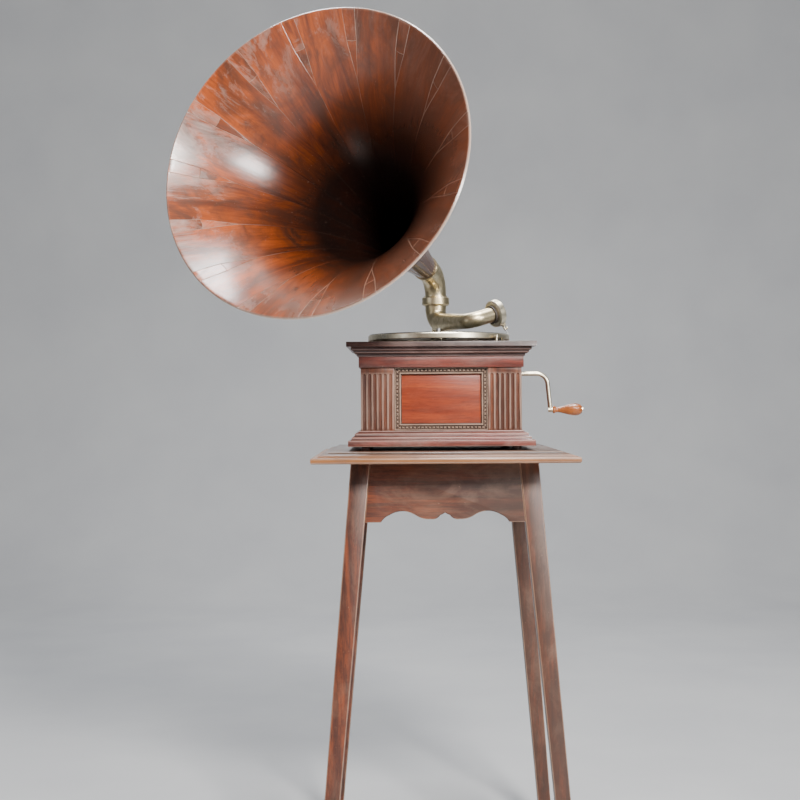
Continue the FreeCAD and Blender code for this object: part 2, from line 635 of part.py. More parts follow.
def governor_parts(governor, wheel_low):
    """The governor's shaft, friction disc, flat springs and weights, on its axis."""
    low, top, fit = size(PLATE_LOW), size(BOARD_UNDER), size("fit")
    module, radius = size("train_module"), size("governor_radius")
    shaft = rod(radius, low, top - 0.5)
    small_teeth = int(size("governor_pinion_teeth"))
    pinion = gear(module, small_teeth, size("pinion_length"), wheel_low - 2, 0, 180.0 / small_teeth)
    collar = rod(5, wheel_low - 14, wheel_low - 10)
    node("governor_shaft", feature("GovernorShaft", shaft.multiFuse([pinion, collar]),
                                   Placement(governor, Rotation())))
    disc_low = low + size("disc_height")
    disc_top = disc_low + size("disc_thick")
    disc = rod(size("governor_disc_radius"), disc_low, disc_top).fuse(rod(5, disc_low, disc_top + 6))
    disc = disc.cut(rod(radius + fit, low, disc_top + 9))
    node("governor_disc", feature("GovernorDisc", disc, Placement(governor, Rotation())))
    weights, springs = [], []
    top_collar, low_collar = wheel_low - 11, disc_top + 2
    centre = (top_collar + low_collar) / 2
    reach = size("governor_reach")
    for index in range(3):
        ball = Part.makeSphere(4.2, Vector(reach, 0, centre))
        weight = ball.cut(Part.makeBox(2, 12, 12, Vector(reach - 6.2, -6, centre - 6)))
        spring = spring_strip(low_collar, top_collar, reach - 4.2)
        for part in (weight, spring):
            part.rotate(ORIGIN, UP, 120 * index + 30)
        weights.append(weight)
        springs.append(spring)
    node("governor_weights", feature("GovernorWeights", Part.makeCompound(weights),
                                     Placement(governor, Rotation())))
    node("governor_springs", feature("GovernorSprings", Part.makeCompound(springs),
                                     Placement(governor, Rotation())))


def spring_strip(low, high, reach):
    """A flat governor spring bowed out between the two collars, as an extruded band."""
    thick, root = 0.5, 5.0
    middle = (low + high) / 2
    bands = [Part.Arc(Vector(root + shift, 0, low), Vector(reach - thick + shift, 0, middle),
                      Vector(root + shift, 0, high)).toShape() for shift in (0, thick)]
    ends = [Part.LineSegment(Vector(root, 0, level), Vector(root + thick, 0, level)).toShape()
            for level in (low, high)]
    face = Part.Face(Part.Wire(Part.__sortEdges__(bands + ends)))
    strip = face.extrude(Vector(0, 5, 0))
    strip.translate(Vector(0, -2.5, 0))
    return strip


# ---------------------------------------------------------------- crank, turntable and brake

def swept_rod(points, bends, radius):
    """A round rod along straight runs joined by tangent arcs: bends holds the inner points' radii."""
    edges, here = [], points[0]
    for index, bend in enumerate(bends, start=1):
        corner = points[index]
        back = (points[index - 1] - corner).normalize()
        ahead = (points[index + 1] - corner).normalize()
        half = back.getAngle(ahead) / 2
        reach = bend / math.tan(half)
        start, end = corner + back * reach, corner + ahead * reach
        inward = (back + ahead).normalize()
        middle = corner + inward * (bend / math.sin(half) - bend)
        edges += [Part.LineSegment(here, start).toShape(), Part.Arc(start, middle, end).toShape()]
        here = end
    edges.append(Part.LineSegment(here, points[-1]).toShape())
    path = Part.Wire(edges)
    direction = (points[1] - points[0]).normalize()
    section = Part.Wire(Part.makeCircle(radius, points[0], direction))
    return path.makePipeShell([section], True, False)


def crank():
    axis, start = size(CRANK), size("crank_start")
    end_x, end_z = size("crank_end_out"), size(CRANK + " - crank_throw")
    points = [Vector(start, 0, axis), Vector(size("crank_corner"), 0, axis), Vector(end_x, 0, end_z)]
    radius = size("crank_rod_radius")
    bent = swept_rod(points, [size("crank_bend")], radius)
    across = Vector(1, 0, 0)
    knob_start = size("knob_start")
    boss_start = end_x - radius
    boss = Part.makeCylinder(radius + 0.3, knob_start - 0.4 - boss_start,
                             Vector(boss_start, 0, end_z), across)
    pin_length = size("knob_length") + 2.4
    pin = Part.makeCylinder(size("knob_pin_radius"), pin_length, Vector(knob_start - 1, 0, end_z), across)
    head = Part.makeCylinder(4, 1.2, Vector(knob_start + size("knob_length") + 0.3, 0, end_z), across)
    node("crank_arm", feature("CrankArm", bent.multiFuse([boss, pin, head])))
    bore = "knob_pin_radius + fit"
    profile = [(bore, 0), (6.2, 0), (7.0, 1.8), (6.4, 3.6), (5.0, 5.4), (4.7, 9), (5.4, 14), (7.2, 21),
               (9.4, 29), ("knob_radius - 0.3", 36), ("knob_radius", 41), ("knob_radius - 0.6", 46),
               ("knob_radius - 2.6", 50), ("knob_radius - 5.2", "knob_length"), (bore, "knob_length")]
    node("crank_knob", turned("CrankKnob", profile, "knob_start", 0, CRANK + " - crank_throw", ALONG_X))
    inner = "arbor_radius + fit"
    bush = [(inner, 0), (6.2, 0), (6.2, 14.2), (9, 14.2), (9, 15.6), (7, 16.6), (inner, 16.6)]
    node("crank_bush", turned("CrankBush", bush, "panel_face_half + mould_rise - 14.1", 0, CRANK, ALONG_X))


def turntable():
    radius, skin = "platter_radius", "platter_height - platter_skin"
    bore = "shaft_radius + fit"
    profile = [(bore, 1.0), (14, 1.0), (14, skin), ("platter_radius - rim_wall", skin),
               ("platter_radius - rim_wall", 0), (radius + " - 0.8", 0), (radius, 0.8),
               (radius, "platter_height - 1.2"), (radius + " - 1.2", "platter_height"),
               (bore, "platter_height")]
    node("turntable_platter", turned("Platter", profile, z=PLATTER))
    felt = ring_outline("record_pin_radius + 0.6", "platter_radius - 2", 0, "felt_thick")
    node("turntable_felt", turned("Felt", felt, z=FELT))


def brake():
    """A lever pivoted beside the rim, whose felt pad swings against it."""
    x, y = size("brake_x"), size("brake_y")
    tangent = math.degrees(math.atan2(x, -y))
    turn = Rotation(UP, tangent)
    spot = Vector(x, y, size(TOP))
    placement = Placement(spot, turn)
    pivot = rod(4, 0, 2.5).fuse(rod(1.9, 2.5, 12)).fuse(rod(3.2, 12, 13.6))
    node("brake_pivot", feature("BrakePivot", pivot, placement))
    arm = Part.makeBox(30, 5, 2.2, Vector(-6, -2.5, 9.4)).fuse(rod(4, 9.4, 11.6))
    shoe = Part.makeBox(7, 2.2, 7, Vector(16, 0.3, 2.5))
    arm = arm.fuse(shoe).cut(rod(1.9 + size("fit"), 0, 20))
    node("brake_lever", feature("BrakeLever", arm, placement))
    pad = Part.makeBox(6, 4.3, 5.5, Vector(16.5, 2.5, 3))
    node("brake_pad", feature("BrakePad", pad, placement))


def speed_control():
    """A thumb screw through the board that bears on a tilting lever over the governor's disc."""
    governor = train_places()[2]
    x, y = size("speed_x"), size("speed_y")
    top = size(TOP)
    lever_height = size(PLATE_LOW + " + disc_height + disc_thick + 2")
    away = Vector(x - governor.x, y - governor.y, 0)
    reach = away.Length
    aim = math.degrees(math.atan2(away.y, away.x))
    screw = [(0, lever_height + 3.2 - top), (2, lever_height + 3.2 - top), (2, 0.4), (7, 0.4), (7, 6),
             (6.2, 6.8), (0, 6.8)]
    node("speed_screw", turned("SpeedScrew", screw, x, y, top))
    middle = reach / 2 + 4
    bar = Part.makeBox(reach - 12, 6, 2, Vector(16, -3, lever_height + 1))
    bar = bar.fuse(Part.makeBox(8, 6, 3.2, Vector(8.5, -3, lever_height - 0.2)))
    bar = bar.fuse(Part.makeCylinder(3.5, 8, Vector(middle, -4, lever_height), Vector(0, 1, 0)))
    bore = Part.makeCylinder(1.5 + size("fit"), 20, Vector(middle, -10, lever_height), Vector(0, 1, 0))
    bar = bar.cut(bore)
    placement = Placement(Vector(governor.x, governor.y, 0), Rotation(UP, aim))
    node("speed_lever", feature("SpeedLever", bar, placement))
    hanger = Part.makeBox(8, 3, 20, Vector(middle - 4, 4.3, lever_height - 5))
    hanger = hanger.fuse(Part.makeBox(8, 3, 20, Vector(middle - 4, -7.3, lever_height - 5)))
    foot = Part.makeBox(8, 14.6, 3, Vector(middle - 4, -7.3, lever_height + 12))
    pin = Part.makeCylinder(1.5, 14.6, Vector(middle, -7.3, lever_height), Vector(0, 1, 0))
    stalk = Part.makeBox(8, 3, size(BOARD_UNDER) - lever_height - 12,
                         Vector(middle - 4, 4.3, lever_height + 12))
    bracket = hanger.multiFuse([foot, pin, stalk])
    node("speed_bracket", feature("SpeedBracket", bracket, placement))


# ---------------------------------------------------------------- bracket, horn elbow and horn

COLLAR = TOP + " + collar_bottom"
SHELF = 7.0


def bracket():
    """A casting on the case's back that carries the collar for the horn and the tone arm."""
    low, tall, outer = size(COLLAR), size("collar_height"), size("collar_radius")
    back, pivot = size("slab_half"), size("pivot_back")
    bead = [(15.5, 0), (outer - 2.5, 0), (outer, 2.5), (outer, tall - 2.5), (outer - 2.5, tall),
            (18.0, tall), (18.0, SHELF), (15.5, SHELF)]
    ring = turned("CollarRing", bead, 0, pivot, COLLAR)
    plate = box("BracketPlate", 44, 7, 44, -22, "slab_half", SLAB + " - 34")
    rib_low = size(SLAB) + 2
    path = [Vector(0, back + 4, rib_low), Vector(0, back + 4, rib_low + 22),
            Vector(0, pivot + outer + 3, rib_low + 52), Vector(0, pivot + outer + 3, low + tall - 9)]
    outline = []
    for side in (-6, 6):
        shifted = [point + Vector(0, side, 0) for point in path]
        outline += shifted if side < 0 else shifted[::-1]
    wide = size("bracket_web")
    web = Part.Face(Part.makePolygon(outline + outline[:1])).extrude(Vector(wide, 0, 0))
    web.translate(Vector(-wide / 2, 0, 0))
    behind = Part.makeBox(2 * wide, 2 * pivot, low, Vector(-wide, back, rib_low))
    web = feature("BracketWeb", web.common(behind))
    lug = box("BracketLug", 26, "collar_radius - 8", 12, -13, "pivot_back + 20", COLLAR + " + 1")
    bosses = [cylinder("BracketBoss%d" % side, 7, "slab_half - frieze_half", screw_place(side)[0],
                       "frieze_half", screw_place(side)[1], ALONG_Y) for side in (-1, 1)]
    casting = fuse("BracketCasting", ring, plate, web, lug, *bosses)
    bore = cylinder("CollarBore", 15.5, "2 * collar_height", 0, pivot, COLLAR + " - 5")
    recess = cylinder("CollarRecess", 18.0, "2 * collar_height", 0, pivot, offset(COLLAR, SHELF))
    holes = [screw_hole("BracketHole", side) for side in (-1, 1)]
    node("bracket", cut("Bracket", casting, group("BracketBores", [bore, recess] + holes)))
    profile = [(0, -42), (2.2, -38), (2.2, 0), (4.5, 0), (4.5, 1.5), (3, 2.6), (0, 2.6)]
    screws = [turned("BracketScrew%d" % side, profile, screw_place(side)[0], "slab_half + 7",
                     screw_place(side)[1], ALONG_Y) for side in (-1, 1)]
    node("bracket_screws", group("BracketScrews", screws))
    rails = NODES["frieze_rails"].Links
    bored = group("RailHoles", [screw_hole("RailHole", side) for side in (-1, 1)])
    node("frieze_rails", group("BoredFriezeRails", [cut("BoredRail", rails[0], bored)] + rails[1:]))


def screw_place(side):
    """Formulas for the X and Z of the bracket's screw on one side."""
    return "%d * bracket_screw_out" % side, FRIEZE + " + frieze_height / 2"


def screw_hole(name, side):
    """A hole along Y, through the case's back rail and the bracket's plate."""
    across, up = screw_place(side)
    return cylinder("%s%d" % (name, side), "bracket_hole_radius", "2 * (slab_half - plug_half)", across,
                    "plug_half - 5", up, ALONG_Y)


def horn_axis():
    turn, tilt = math.radians(size("horn_turn")), math.radians(size("horn_tilt"))
    return Vector(-math.sin(turn) * math.cos(tilt), -math.cos(turn) * math.cos(tilt), math.sin(tilt))


def elbow_points():
    """The start, corner and end of the horn elbow's centre line."""
    axis = horn_axis()
    start = Vector(0, size("pivot_back"), size(COLLAR + " + collar_height"))
    half = (math.pi / 2 - math.radians(size("horn_tilt"))) / 2
    reach = size("elbow_bend") * math.tan(half)
    corner = start + UP * (size("elbow_rise") + reach)
    return start, corner, corner + axis * (reach + size("socket_length"))


def tapered(start, end, first, last):
    """A straight round solid between two points, with a radius at each."""
    axis = end - start
    return Part.makeCone(first, last, axis.Length, start, axis)


def widening_tube(start, corner, end, bend, first, last):
    """A solid along a line, a bend and a line whose radius changes evenly from first to last."""
    back, ahead = (start - corner).normalize(), (end - corner).normalize()
    half = back.getAngle(ahead) / 2
    reach = bend / math.tan(half)
    middle = corner + (back + ahead).normalize() * (bend / math.sin(half) - bend)
    bend_in, bend_out = corner + back * reach, corner + ahead * reach
    runs = [(bend_in - start).Length, bend * (math.pi - 2 * half), (end - bend_out).Length]
    near = first + (last - first) * runs[0] / sum(runs)
    far = first + (last - first) * (runs[0] + runs[1]) / sum(runs)
    arc = Part.Arc(bend_in, middle, bend_out).toShape()
    pipe = Part.BRepOffsetAPI.MakePipeShell(Part.Wire([arc]))
    pipe.add(Part.Wire(Part.makeCircle(near, bend_in, back * -1)))
    pipe.add(Part.Wire(Part.makeCircle(far, bend_out, ahead)))
    pipe.build()
    pipe.makeSolid()
    return tapered(start, bend_in, first, near).multiFuse([pipe.shape(), tapered(bend_out, end, far, last)])


def horn_placement():
    """Horn axis as local Z, from the ferrule towards the mouth."""
    return Placement(elbow_points()[2], Rotation(UP, horn_axis()))


def horn_elbow():
    start, corner, end = elbow_points()
    bend, wall, bore = size("elbow_bend"), size("pipe_wall"), size("pipe_bore")
    first, last = size("pipe_radius"), size("socket_radius")
    outer = widening_tube(start, corner, end, bend, first, last)
    inner = widening_tube(start, corner, end, bend, bore, last - wall)
    spigot = Part.makeCylinder(18.0 - size("fit"), 6, start - UP * 6)
    hollow = Part.makeCylinder(bore, 6, start - UP * 6)
    flange = Part.makeCylinder(first + 1.6, 2.2, start)
    lip_length, axis = size("lip_length"), horn_axis()
    lip = Part.makeCylinder(last + size("lip_width"), lip_length, end - axis * lip_length, axis)
    elbow = outer.multiFuse([spigot, flange, lip]).cut([inner, hollow])
    node("horn_elbow", feature("HornElbow", elbow))
    plug = "socket_radius - pipe_wall - 2 * fit"
    sleeve = "horn_small_radius - horn_wall - 0.15"
    ferrule = [("ferrule_bore", "-ferrule_depth"), (plug + " - ferrule_taper", "-ferrule_depth"),
               (plug, -0.1), (sleeve, -0.1), (sleeve, "ferrule_reach"), ("ferrule_bore", "ferrule_reach")]
    body = turned("HornFerrule", ferrule)
    seat = horn_placement()
    node("horn_ferrule", place(body, seat.Base.x, seat.Base.y, seat.Base.z, seat.Rotation))


def horn_radius(share):
    """Outer radius of the horn at a share of its length from the small end."""
    return (size("horn_small_radius") + size("horn_taper") * share
            + size("horn_flare") * share ** size("horn_power"))


def horn_section():
    """Half section of the horn's wall, in local XZ."""
    length, wall, steps = size("horn_length"), size("horn_wall"), 14
    outer = [Vector(horn_radius(i / steps), 0, length * i / steps) for i in range(steps + 1)]
    inner = []
    for i in range(steps + 1):
        ahead, behind = min(i / steps + 0.002, 1.0), max(i / steps - 0.002, 0.0)
        slope = (horn_radius(ahead) - horn_radius(behind)) / ((ahead - behind) * length)
        tilt = math.atan(slope)
        inner.append(outer[i] + Vector(-wall * math.cos(tilt), 0, wall * math.sin(tilt)))
    inner[0].z = 0.15
    outer[0].z = 0.15
    curves = []
    for points in (outer, inner):
        curve = Part.BSplineCurve()
        curve.interpolate(points)
        curves.append(curve.toShape())
    ends = [Part.LineSegment(outer[0], inner[0]).toShape(), Part.LineSegment(outer[-1], inner[-1]).toShape()]
    return Part.Face(Part.Wire(Part.__sortEdges__(curves + ends)))


def horn():
    """Fifteen staves, whose seams open into fifteen spear-tip wedges towards the rim."""
    count = int(size("stave_count"))
    step = 360.0 / count
    section = horn_section()
    tip, joint = size("wedge_tip_radius"), size("wedge_joint_radius")
    joint_half, rim_half = size("wedge_joint_half"), size("wedge_rim_half")
    far = size("horn_small_radius + horn_taper + horn_flare") + 20
    corners = [Vector(tip, 0, 0), Vector(joint, -joint_half, 0), Vector(far, -rim_half, 0),
               Vector(far, rim_half, 0), Vector(joint, joint_half, 0), Vector(tip, 0, 0)]
    prism = Part.Face(Part.makePolygon(corners)).extrude(Vector(0, 0, size("horn_length") + 40))
    sector = section.copy()
    sector.rotate(ORIGIN, UP, -step / 2)
    sector = sector.revolve(ORIGIN, UP, step)
    wedge = sector.common(prism).Solids[0]
    beside = []
    for side in (-0.5, 0.5):
        turned_prism = prism.copy()
        turned_prism.rotate(ORIGIN, UP, side * step)
        beside.append(turned_prism)
    stave = sector.cut(beside).Solids[0]
    staves, wedges = [], []
    for index in range(count):
        one, other = stave.copy(), wedge.copy()
        one.rotate(ORIGIN, UP, step * index)
        other.rotate(ORIGIN, UP, step * (index + 0.5))
        staves.append(one)
        wedges.append(other)
    node("horn_staves", feature("HornStaves", Part.makeCompound(staves), horn_placement()))
    node("horn_wedges", feature("HornWedges", Part.makeCompound(wedges), horn_placement()))


# ---------------------------------------------------------------- tone arm and sound box

def arm_places():
    """Pivot, elbow corner, crook corner and the directions of the arm and of the sound box."""
    pivot = Vector(0, size("pivot_back"), size(COLLAR))
    elbow = Vector(pivot.x, pivot.y, size(TOP + " + arm_height"))
    crook = Vector(size("crook_x"), size("crook_y"), size(TOP + " + crook_height"))
    box_centre = Vector(size("box_x"), size("box_y"), size(TOP + " + box_height"))
    return pivot, elbow, crook, (crook - elbow).normalize(), (box_centre - crook).normalize()


def tone_arm():
    pivot, elbow, crook, along, across = arm_places()
    wall, radius = size("arm_wall"), size("arm_radius")
    joint = crook - along * size("crook_joint")
    bend = size("arm_elbow_bend") - 1.5
    outer = widening_tube(pivot, elbow, joint, bend, size("pipe_radius"), radius)
    inner = widening_tube(pivot, elbow, joint, bend, 13.6, radius - wall)
    spigot = Part.makeCylinder(15.5 - size("fit"), 10.5, pivot)
    bore = Part.makeCylinder(13.6, 10.5, pivot)
    node("tone_arm", feature("ToneArm", outer.fuse(spigot).cut([inner, bore])))
    nut = Part.makeCylinder(17.4, 2.6, pivot + UP * (SHELF + 0.06))
    nut = nut.cut(Part.makeCylinder(15.5, 10, pivot + UP * 5))
    node("tone_arm_nut", feature("ToneArmNut", nut))
    crook_tube(crook, along, across, joint)


def crook_tube(crook, along, across, joint):
    """The bent end of the arm: it swivels on a sleeve inside the arm's tube."""
    wall, radius = size("arm_wall"), size("arm_radius")
    start = joint + along * 0.1
    end = crook + across * (size("box_start") - 0.1)
    path = [start, crook, end]
    outer = swept_rod(path, [size("crook_bend")], radius)
    inner = swept_rod([start - along, crook, end + across], [size("crook_bend")], radius - 2 * wall)
    sleeve = Part.makeCylinder(radius - wall - size("fit"), 12, start - along * 12, along)
    sleeve = sleeve.cut(Part.makeCylinder(radius - 2 * wall, 14, start - along * 13, along))
    node("arm_crook", feature("ArmCrook", outer.cut(inner).fuse(sleeve)))


def box_placement():
    """Sound box frame: local Z out of its face, local X level, at the crook's corner."""
    crook, across = arm_places()[2], arm_places()[4]
    sideways = UP.cross(across).normalize()
    upward = across.cross(sideways)
    matrix = FreeCAD.Matrix(sideways.x, upward.x, across.x, crook.x,
                            sideways.y, upward.y, across.y, crook.y,
                            sideways.z, upward.z, across.z, crook.z, 0, 0, 0, 1)
    return Placement(matrix)


def turned_in_box(name, outline):
    body = turned(name, outline)
    placement = box_placement()
    place(body, placement.Base.x, placement.Base.y, placement.Base.z, placement.Rotation)
    return body


def sound_box():
    near, radius = size("box_start"), size("box_radius")
    flange = ring_outline(9, 17, near, near + 4)
    node("isolator_flange", turned_in_box("IsolatorFlange", flange))
    back = near + 4
    shell = [(8, back), (radius - 3, back), (radius, back + 2.5), (radius, back + 10), (23.4, back + 10),
             (23.4, back + 6), (21, back + 4), (8, back + 3.5)]
    node("sound_box_shell", turned_in_box("SoundBoxShell", shell))
    seat = back + 6
    seals = []
    for index, low in enumerate((seat, seat + 2.2)):
        profile = [(21.4, low + 0.9), (22.3, low + 0.02), (23.2, low + 0.9), (22.3, low + 1.78)]
        seals.append(turned_in_box("Seal%d" % index, profile))
    node("sound_box_gaskets", group("SoundBoxGaskets", seals))
    node("diaphragm", turned_in_box("Diaphragm", ring_outline(0, 23, seat + 1.8, seat + 2.2)))
    front = back + 10
    ring = [(20, front), (20, front + 3), (21.5, front + 4.5), (24, front + 4.5), (radius, front + 3),
            (radius, front)]
    node("sound_box_ring", turned_in_box("SoundBoxRing", ring))
    stylus(front, seat + 2.2, radius)


def stylus(front, diaphragm, radius):
    """Stylus bar, its two pivot screws, the needle and its thumb screw, in the sound box frame."""
    placement = box_placement()
    pivot_y = -radius + 1.5
    face = front + 4.5
    out = face + 3.2
    lug = Part.makeBox(3, 6, 6, Vector(-7.5, pivot_y - 3, face - 0.5))
    lugs = lug.fuse(Part.makeBox(3, 6, 6, Vector(4.5, pivot_y - 3, face - 0.5)))
    ring = NODES.pop("sound_box_ring")
    holes = Part.makeCylinder(1.05, 30, Vector(-15, pivot_y, out), Vector(1, 0, 0))
    lug_part = feature("StylusLugs", lugs.cut(holes), placement)
    node("sound_box_ring", fuse("RingWithLugs", ring, lug_part))
    bar = Part.makeBox(8.4, 5, 4.4, Vector(-4.2, pivot_y - 2.5, out - 2.2))
    bar = bar.fuse(Part.makeBox(2.4, -pivot_y + 1, 1.8, Vector(-1.2, pivot_y, out - 0.9)))
    foot_start = diaphragm + 0.6
    bar = bar.fuse(Part.makeBox(2.4, 2.4, out + 0.9 - foot_start, Vector(-1.2, -1.2, foot_start)))
    lean = Rotation(UP, -30).multVec(Vector(0, -1, 0))
    top = Vector(0, pivot_y, out)
    chuck_length, needle_radius = size("chuck_length"), size("needle_radius")
    chuck = Part.makeCylinder(2.4, chuck_length, top, lean)
    bar = bar.fuse(chuck)
    bar = bar.cut(Part.makeCylinder(1.0, 30, Vector(-15, pivot_y, out), Vector(1, 0, 0)))
    needle_bore = Part.makeCylinder(needle_radius + size("fit"), chuck_length, top + lean * 1.4, lean)
    clamp = top + lean * (chuck_length - 2.6)
    screw_bore = Part.makeCylinder(0.9, 6, clamp, UP)
    node("stylus_bar", feature("StylusBar", bar.cut(needle_bore).cut(screw_bore), placement))
    pins = []
    for side in (-1, 1):
        tip = Vector(side * 2.0, pivot_y, out)
        pin = Part.makeCylinder(0.95, 6.6, tip, Vector(side, 0, 0))
        head = Part.makeCylinder(1.9, 1.4, tip + Vector(side * 5.6, 0, 0), Vector(side, 0, 0))
        pins.append(pin.fuse(head))
    node("stylus_pivots", feature("StylusPivots", Part.makeCompound(pins), placement))
    screw = Part.makeCylinder(0.85, 3.2, clamp + UP * 0.95, UP)
    screw = screw.fuse(Part.makeCylinder(2.6, 2.4, clamp + UP * 3.2, UP))
    node("needle_screw", feature("NeedleScrew", screw, placement))
    tip_height = size("felt_thick + needle_clearance") + size(FELT)
    drop = placement.multVec(top).z - tip_height
    length = drop / -placement.Rotation.multVec(lean).z
    start, taper = 1.5, 3.5
    shank = Part.makeCylinder(needle_radius, length - taper - start, top + lean * start, lean)
    point = Part.makeCone(needle_radius, 0.1, taper, top + lean * (length - taper), lean)
    node("needle", feature("Needle", shank.fuse(point), placement))


# ---------------------------------------------------------------- the whole machine

def check_and_write():
    """Recomputes the document, refuses any failed object, and writes each sub-part.

    The parts are written from the row's origin, the middle of the front left foot's sole.
    """
    doc.recompute()
    failed = [item.Name for item in doc.Objects if {"Invalid", "Error"} & set(item.State)]
    for name, item in NODES.items():
        if item.Shape.isNull() or not item.Shape.isValid() or not item.Shape.Solids:
            failed.append(name)
    if failed:
        raise RuntimeError("failed objects: " + ", ".join(failed))
    foot = size("leg_out_foot - leg_side_foot / 2")
    shift = Vector(foot - size("stand_shift"), foot, 0)
    os.makedirs("parts", exist_ok=True)
    for name, item in sorted(NODES.items()):
        shape = item.Shape.copy()
        shape.translate(shift)
        shape.exportStep("parts/%s.step" % name)
        print("%-20s %3d solids %12.1f mm3" % (name, len(shape.Solids), shape.Volume))


stand()
case_feet()
case_mouldings()
case_boards()
corner_posts()
panels()
motor_frame()
spring_drive()
gear_train()
speed_control()
crank()
turntable()
brake()
bracket()
horn_elbow()
horn()
tone_arm()
sound_box()
check_and_write()
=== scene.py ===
import json
import math
import random

import bmesh
import bpy
import numpy as np
from mathutils import Matrix, Vector

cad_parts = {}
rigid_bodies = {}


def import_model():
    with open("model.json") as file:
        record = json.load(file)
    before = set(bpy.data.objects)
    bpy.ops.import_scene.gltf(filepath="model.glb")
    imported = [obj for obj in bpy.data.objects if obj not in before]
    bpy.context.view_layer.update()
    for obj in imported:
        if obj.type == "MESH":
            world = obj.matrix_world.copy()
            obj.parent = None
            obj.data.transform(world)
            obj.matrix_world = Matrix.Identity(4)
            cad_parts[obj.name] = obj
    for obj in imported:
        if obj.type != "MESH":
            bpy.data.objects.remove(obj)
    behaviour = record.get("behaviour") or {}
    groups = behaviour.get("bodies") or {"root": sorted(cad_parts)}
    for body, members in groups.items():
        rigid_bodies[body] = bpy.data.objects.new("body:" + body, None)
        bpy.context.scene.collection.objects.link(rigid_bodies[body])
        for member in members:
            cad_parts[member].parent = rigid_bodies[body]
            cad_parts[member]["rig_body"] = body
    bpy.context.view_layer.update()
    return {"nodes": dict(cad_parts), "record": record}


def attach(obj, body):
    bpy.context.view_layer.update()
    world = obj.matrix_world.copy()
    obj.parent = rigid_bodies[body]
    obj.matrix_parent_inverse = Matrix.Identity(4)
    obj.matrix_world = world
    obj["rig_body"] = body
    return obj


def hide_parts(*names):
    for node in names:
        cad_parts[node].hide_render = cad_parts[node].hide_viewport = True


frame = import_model()
NODES = frame["nodes"]
RANDOM = random.Random(1911)


def spindle_axis():
    """The point on the floor under the turntable spindle, about which the machine is drawn."""
    for mount in frame["record"]["mounts"]:
        if mount["name"] == "spindle":
            return Vector((mount["pos_m"][0], mount["pos_m"][1], 0.0))
    raise RuntimeError("the record has no spindle mount")


HOME = spindle_axis()

# ---------------------------------------------------------------- camera, lights and stage


def aim(item, place, target):
    item.location = HOME + Vector(place)
    item.rotation_euler = (Vector(target) - Vector(place)).to_track_quat("-Z", "Y").to_euler()


CAMERA_PLACE = Vector((-0.0703, -2.434, 0.826))
CAMERA_LENS, SENSOR_WIDTH = 60.75, 36.0
CAMERA_ROLL = math.radians(0.35)


def add_camera():
    data = bpy.data.cameras.new("studio_camera")
    data.sensor_width = SENSOR_WIDTH
    data.lens = CAMERA_LENS
    data.clip_end = 30.0
    item = bpy.data.objects.new("studio_camera", data)
    bpy.context.scene.collection.objects.link(item)
    item.location = HOME + CAMERA_PLACE
    item.rotation_euler = (0.5 * math.pi, CAMERA_ROLL, 0.0)
    bpy.context.scene.camera = item


def add_area(name, place, target, size, energy, colour, gloss_only):
    """A soft box, unseen by the camera; gloss_only leaves it out of diffuse light."""
    data = bpy.data.lights.new(name, "AREA")
    data.shape = "RECTANGLE"
    data.size, data.size_y = size
    data.energy = energy
    data.color = colour
    item = bpy.data.objects.new(name, data)
    bpy.context.scene.collection.objects.link(item)
    aim(item, place, target)
    item.visible_diffuse = not gloss_only
    item.visible_camera = False


WARM, NEUTRAL, COOL, SKY = (1.0, 0.97, 0.93), (1.0, 0.99, 0.98), (0.97, 0.98, 1.0), (0.93, 0.96, 1.0)
LIGHTS = (
    ("key_box", (0.75, -2.55, 2.45), (0.0, 0.0, 0.85), (0.60, 0.60), 165.0, WARM, False),
    ("side_box", (1.93, -2.15, 1.50), (-0.3, -0.2, 1.2), (0.55, 0.55), 80.0, NEUTRAL, True),
    ("crown_box", (0.30, 0.20, 3.90), (0.0, 0.0, 1.0), (1.20, 1.20), 200.0, COOL, True),
    ("top_box", (0.30, -0.30, 3.60), (0.0, 0.0, 1.0), (1.20, 1.20), 40.0, COOL, False),
    ("back_box", (-0.3, 2.70, 3.10), (0.0, 0.0, 0.8), (1.20, 1.20), 60.0, COOL, False),
    ("fill_box", (-2.4, -1.6, 1.3), (0.0, 0.0, 0.8), (1.60, 1.80), 12.0, SKY, False),
)


def add_world():
    world = bpy.data.worlds.new("studio_world")
    world.use_nodes = True
    background = world.node_tree.nodes["Background"]
    background.inputs["Color"].default_value = (0.80, 0.83, 0.88, 1.0)
    background.inputs["Strength"].default_value = 0.16
    bpy.context.scene.world = world


# ---------------------------------------------------------------- materials


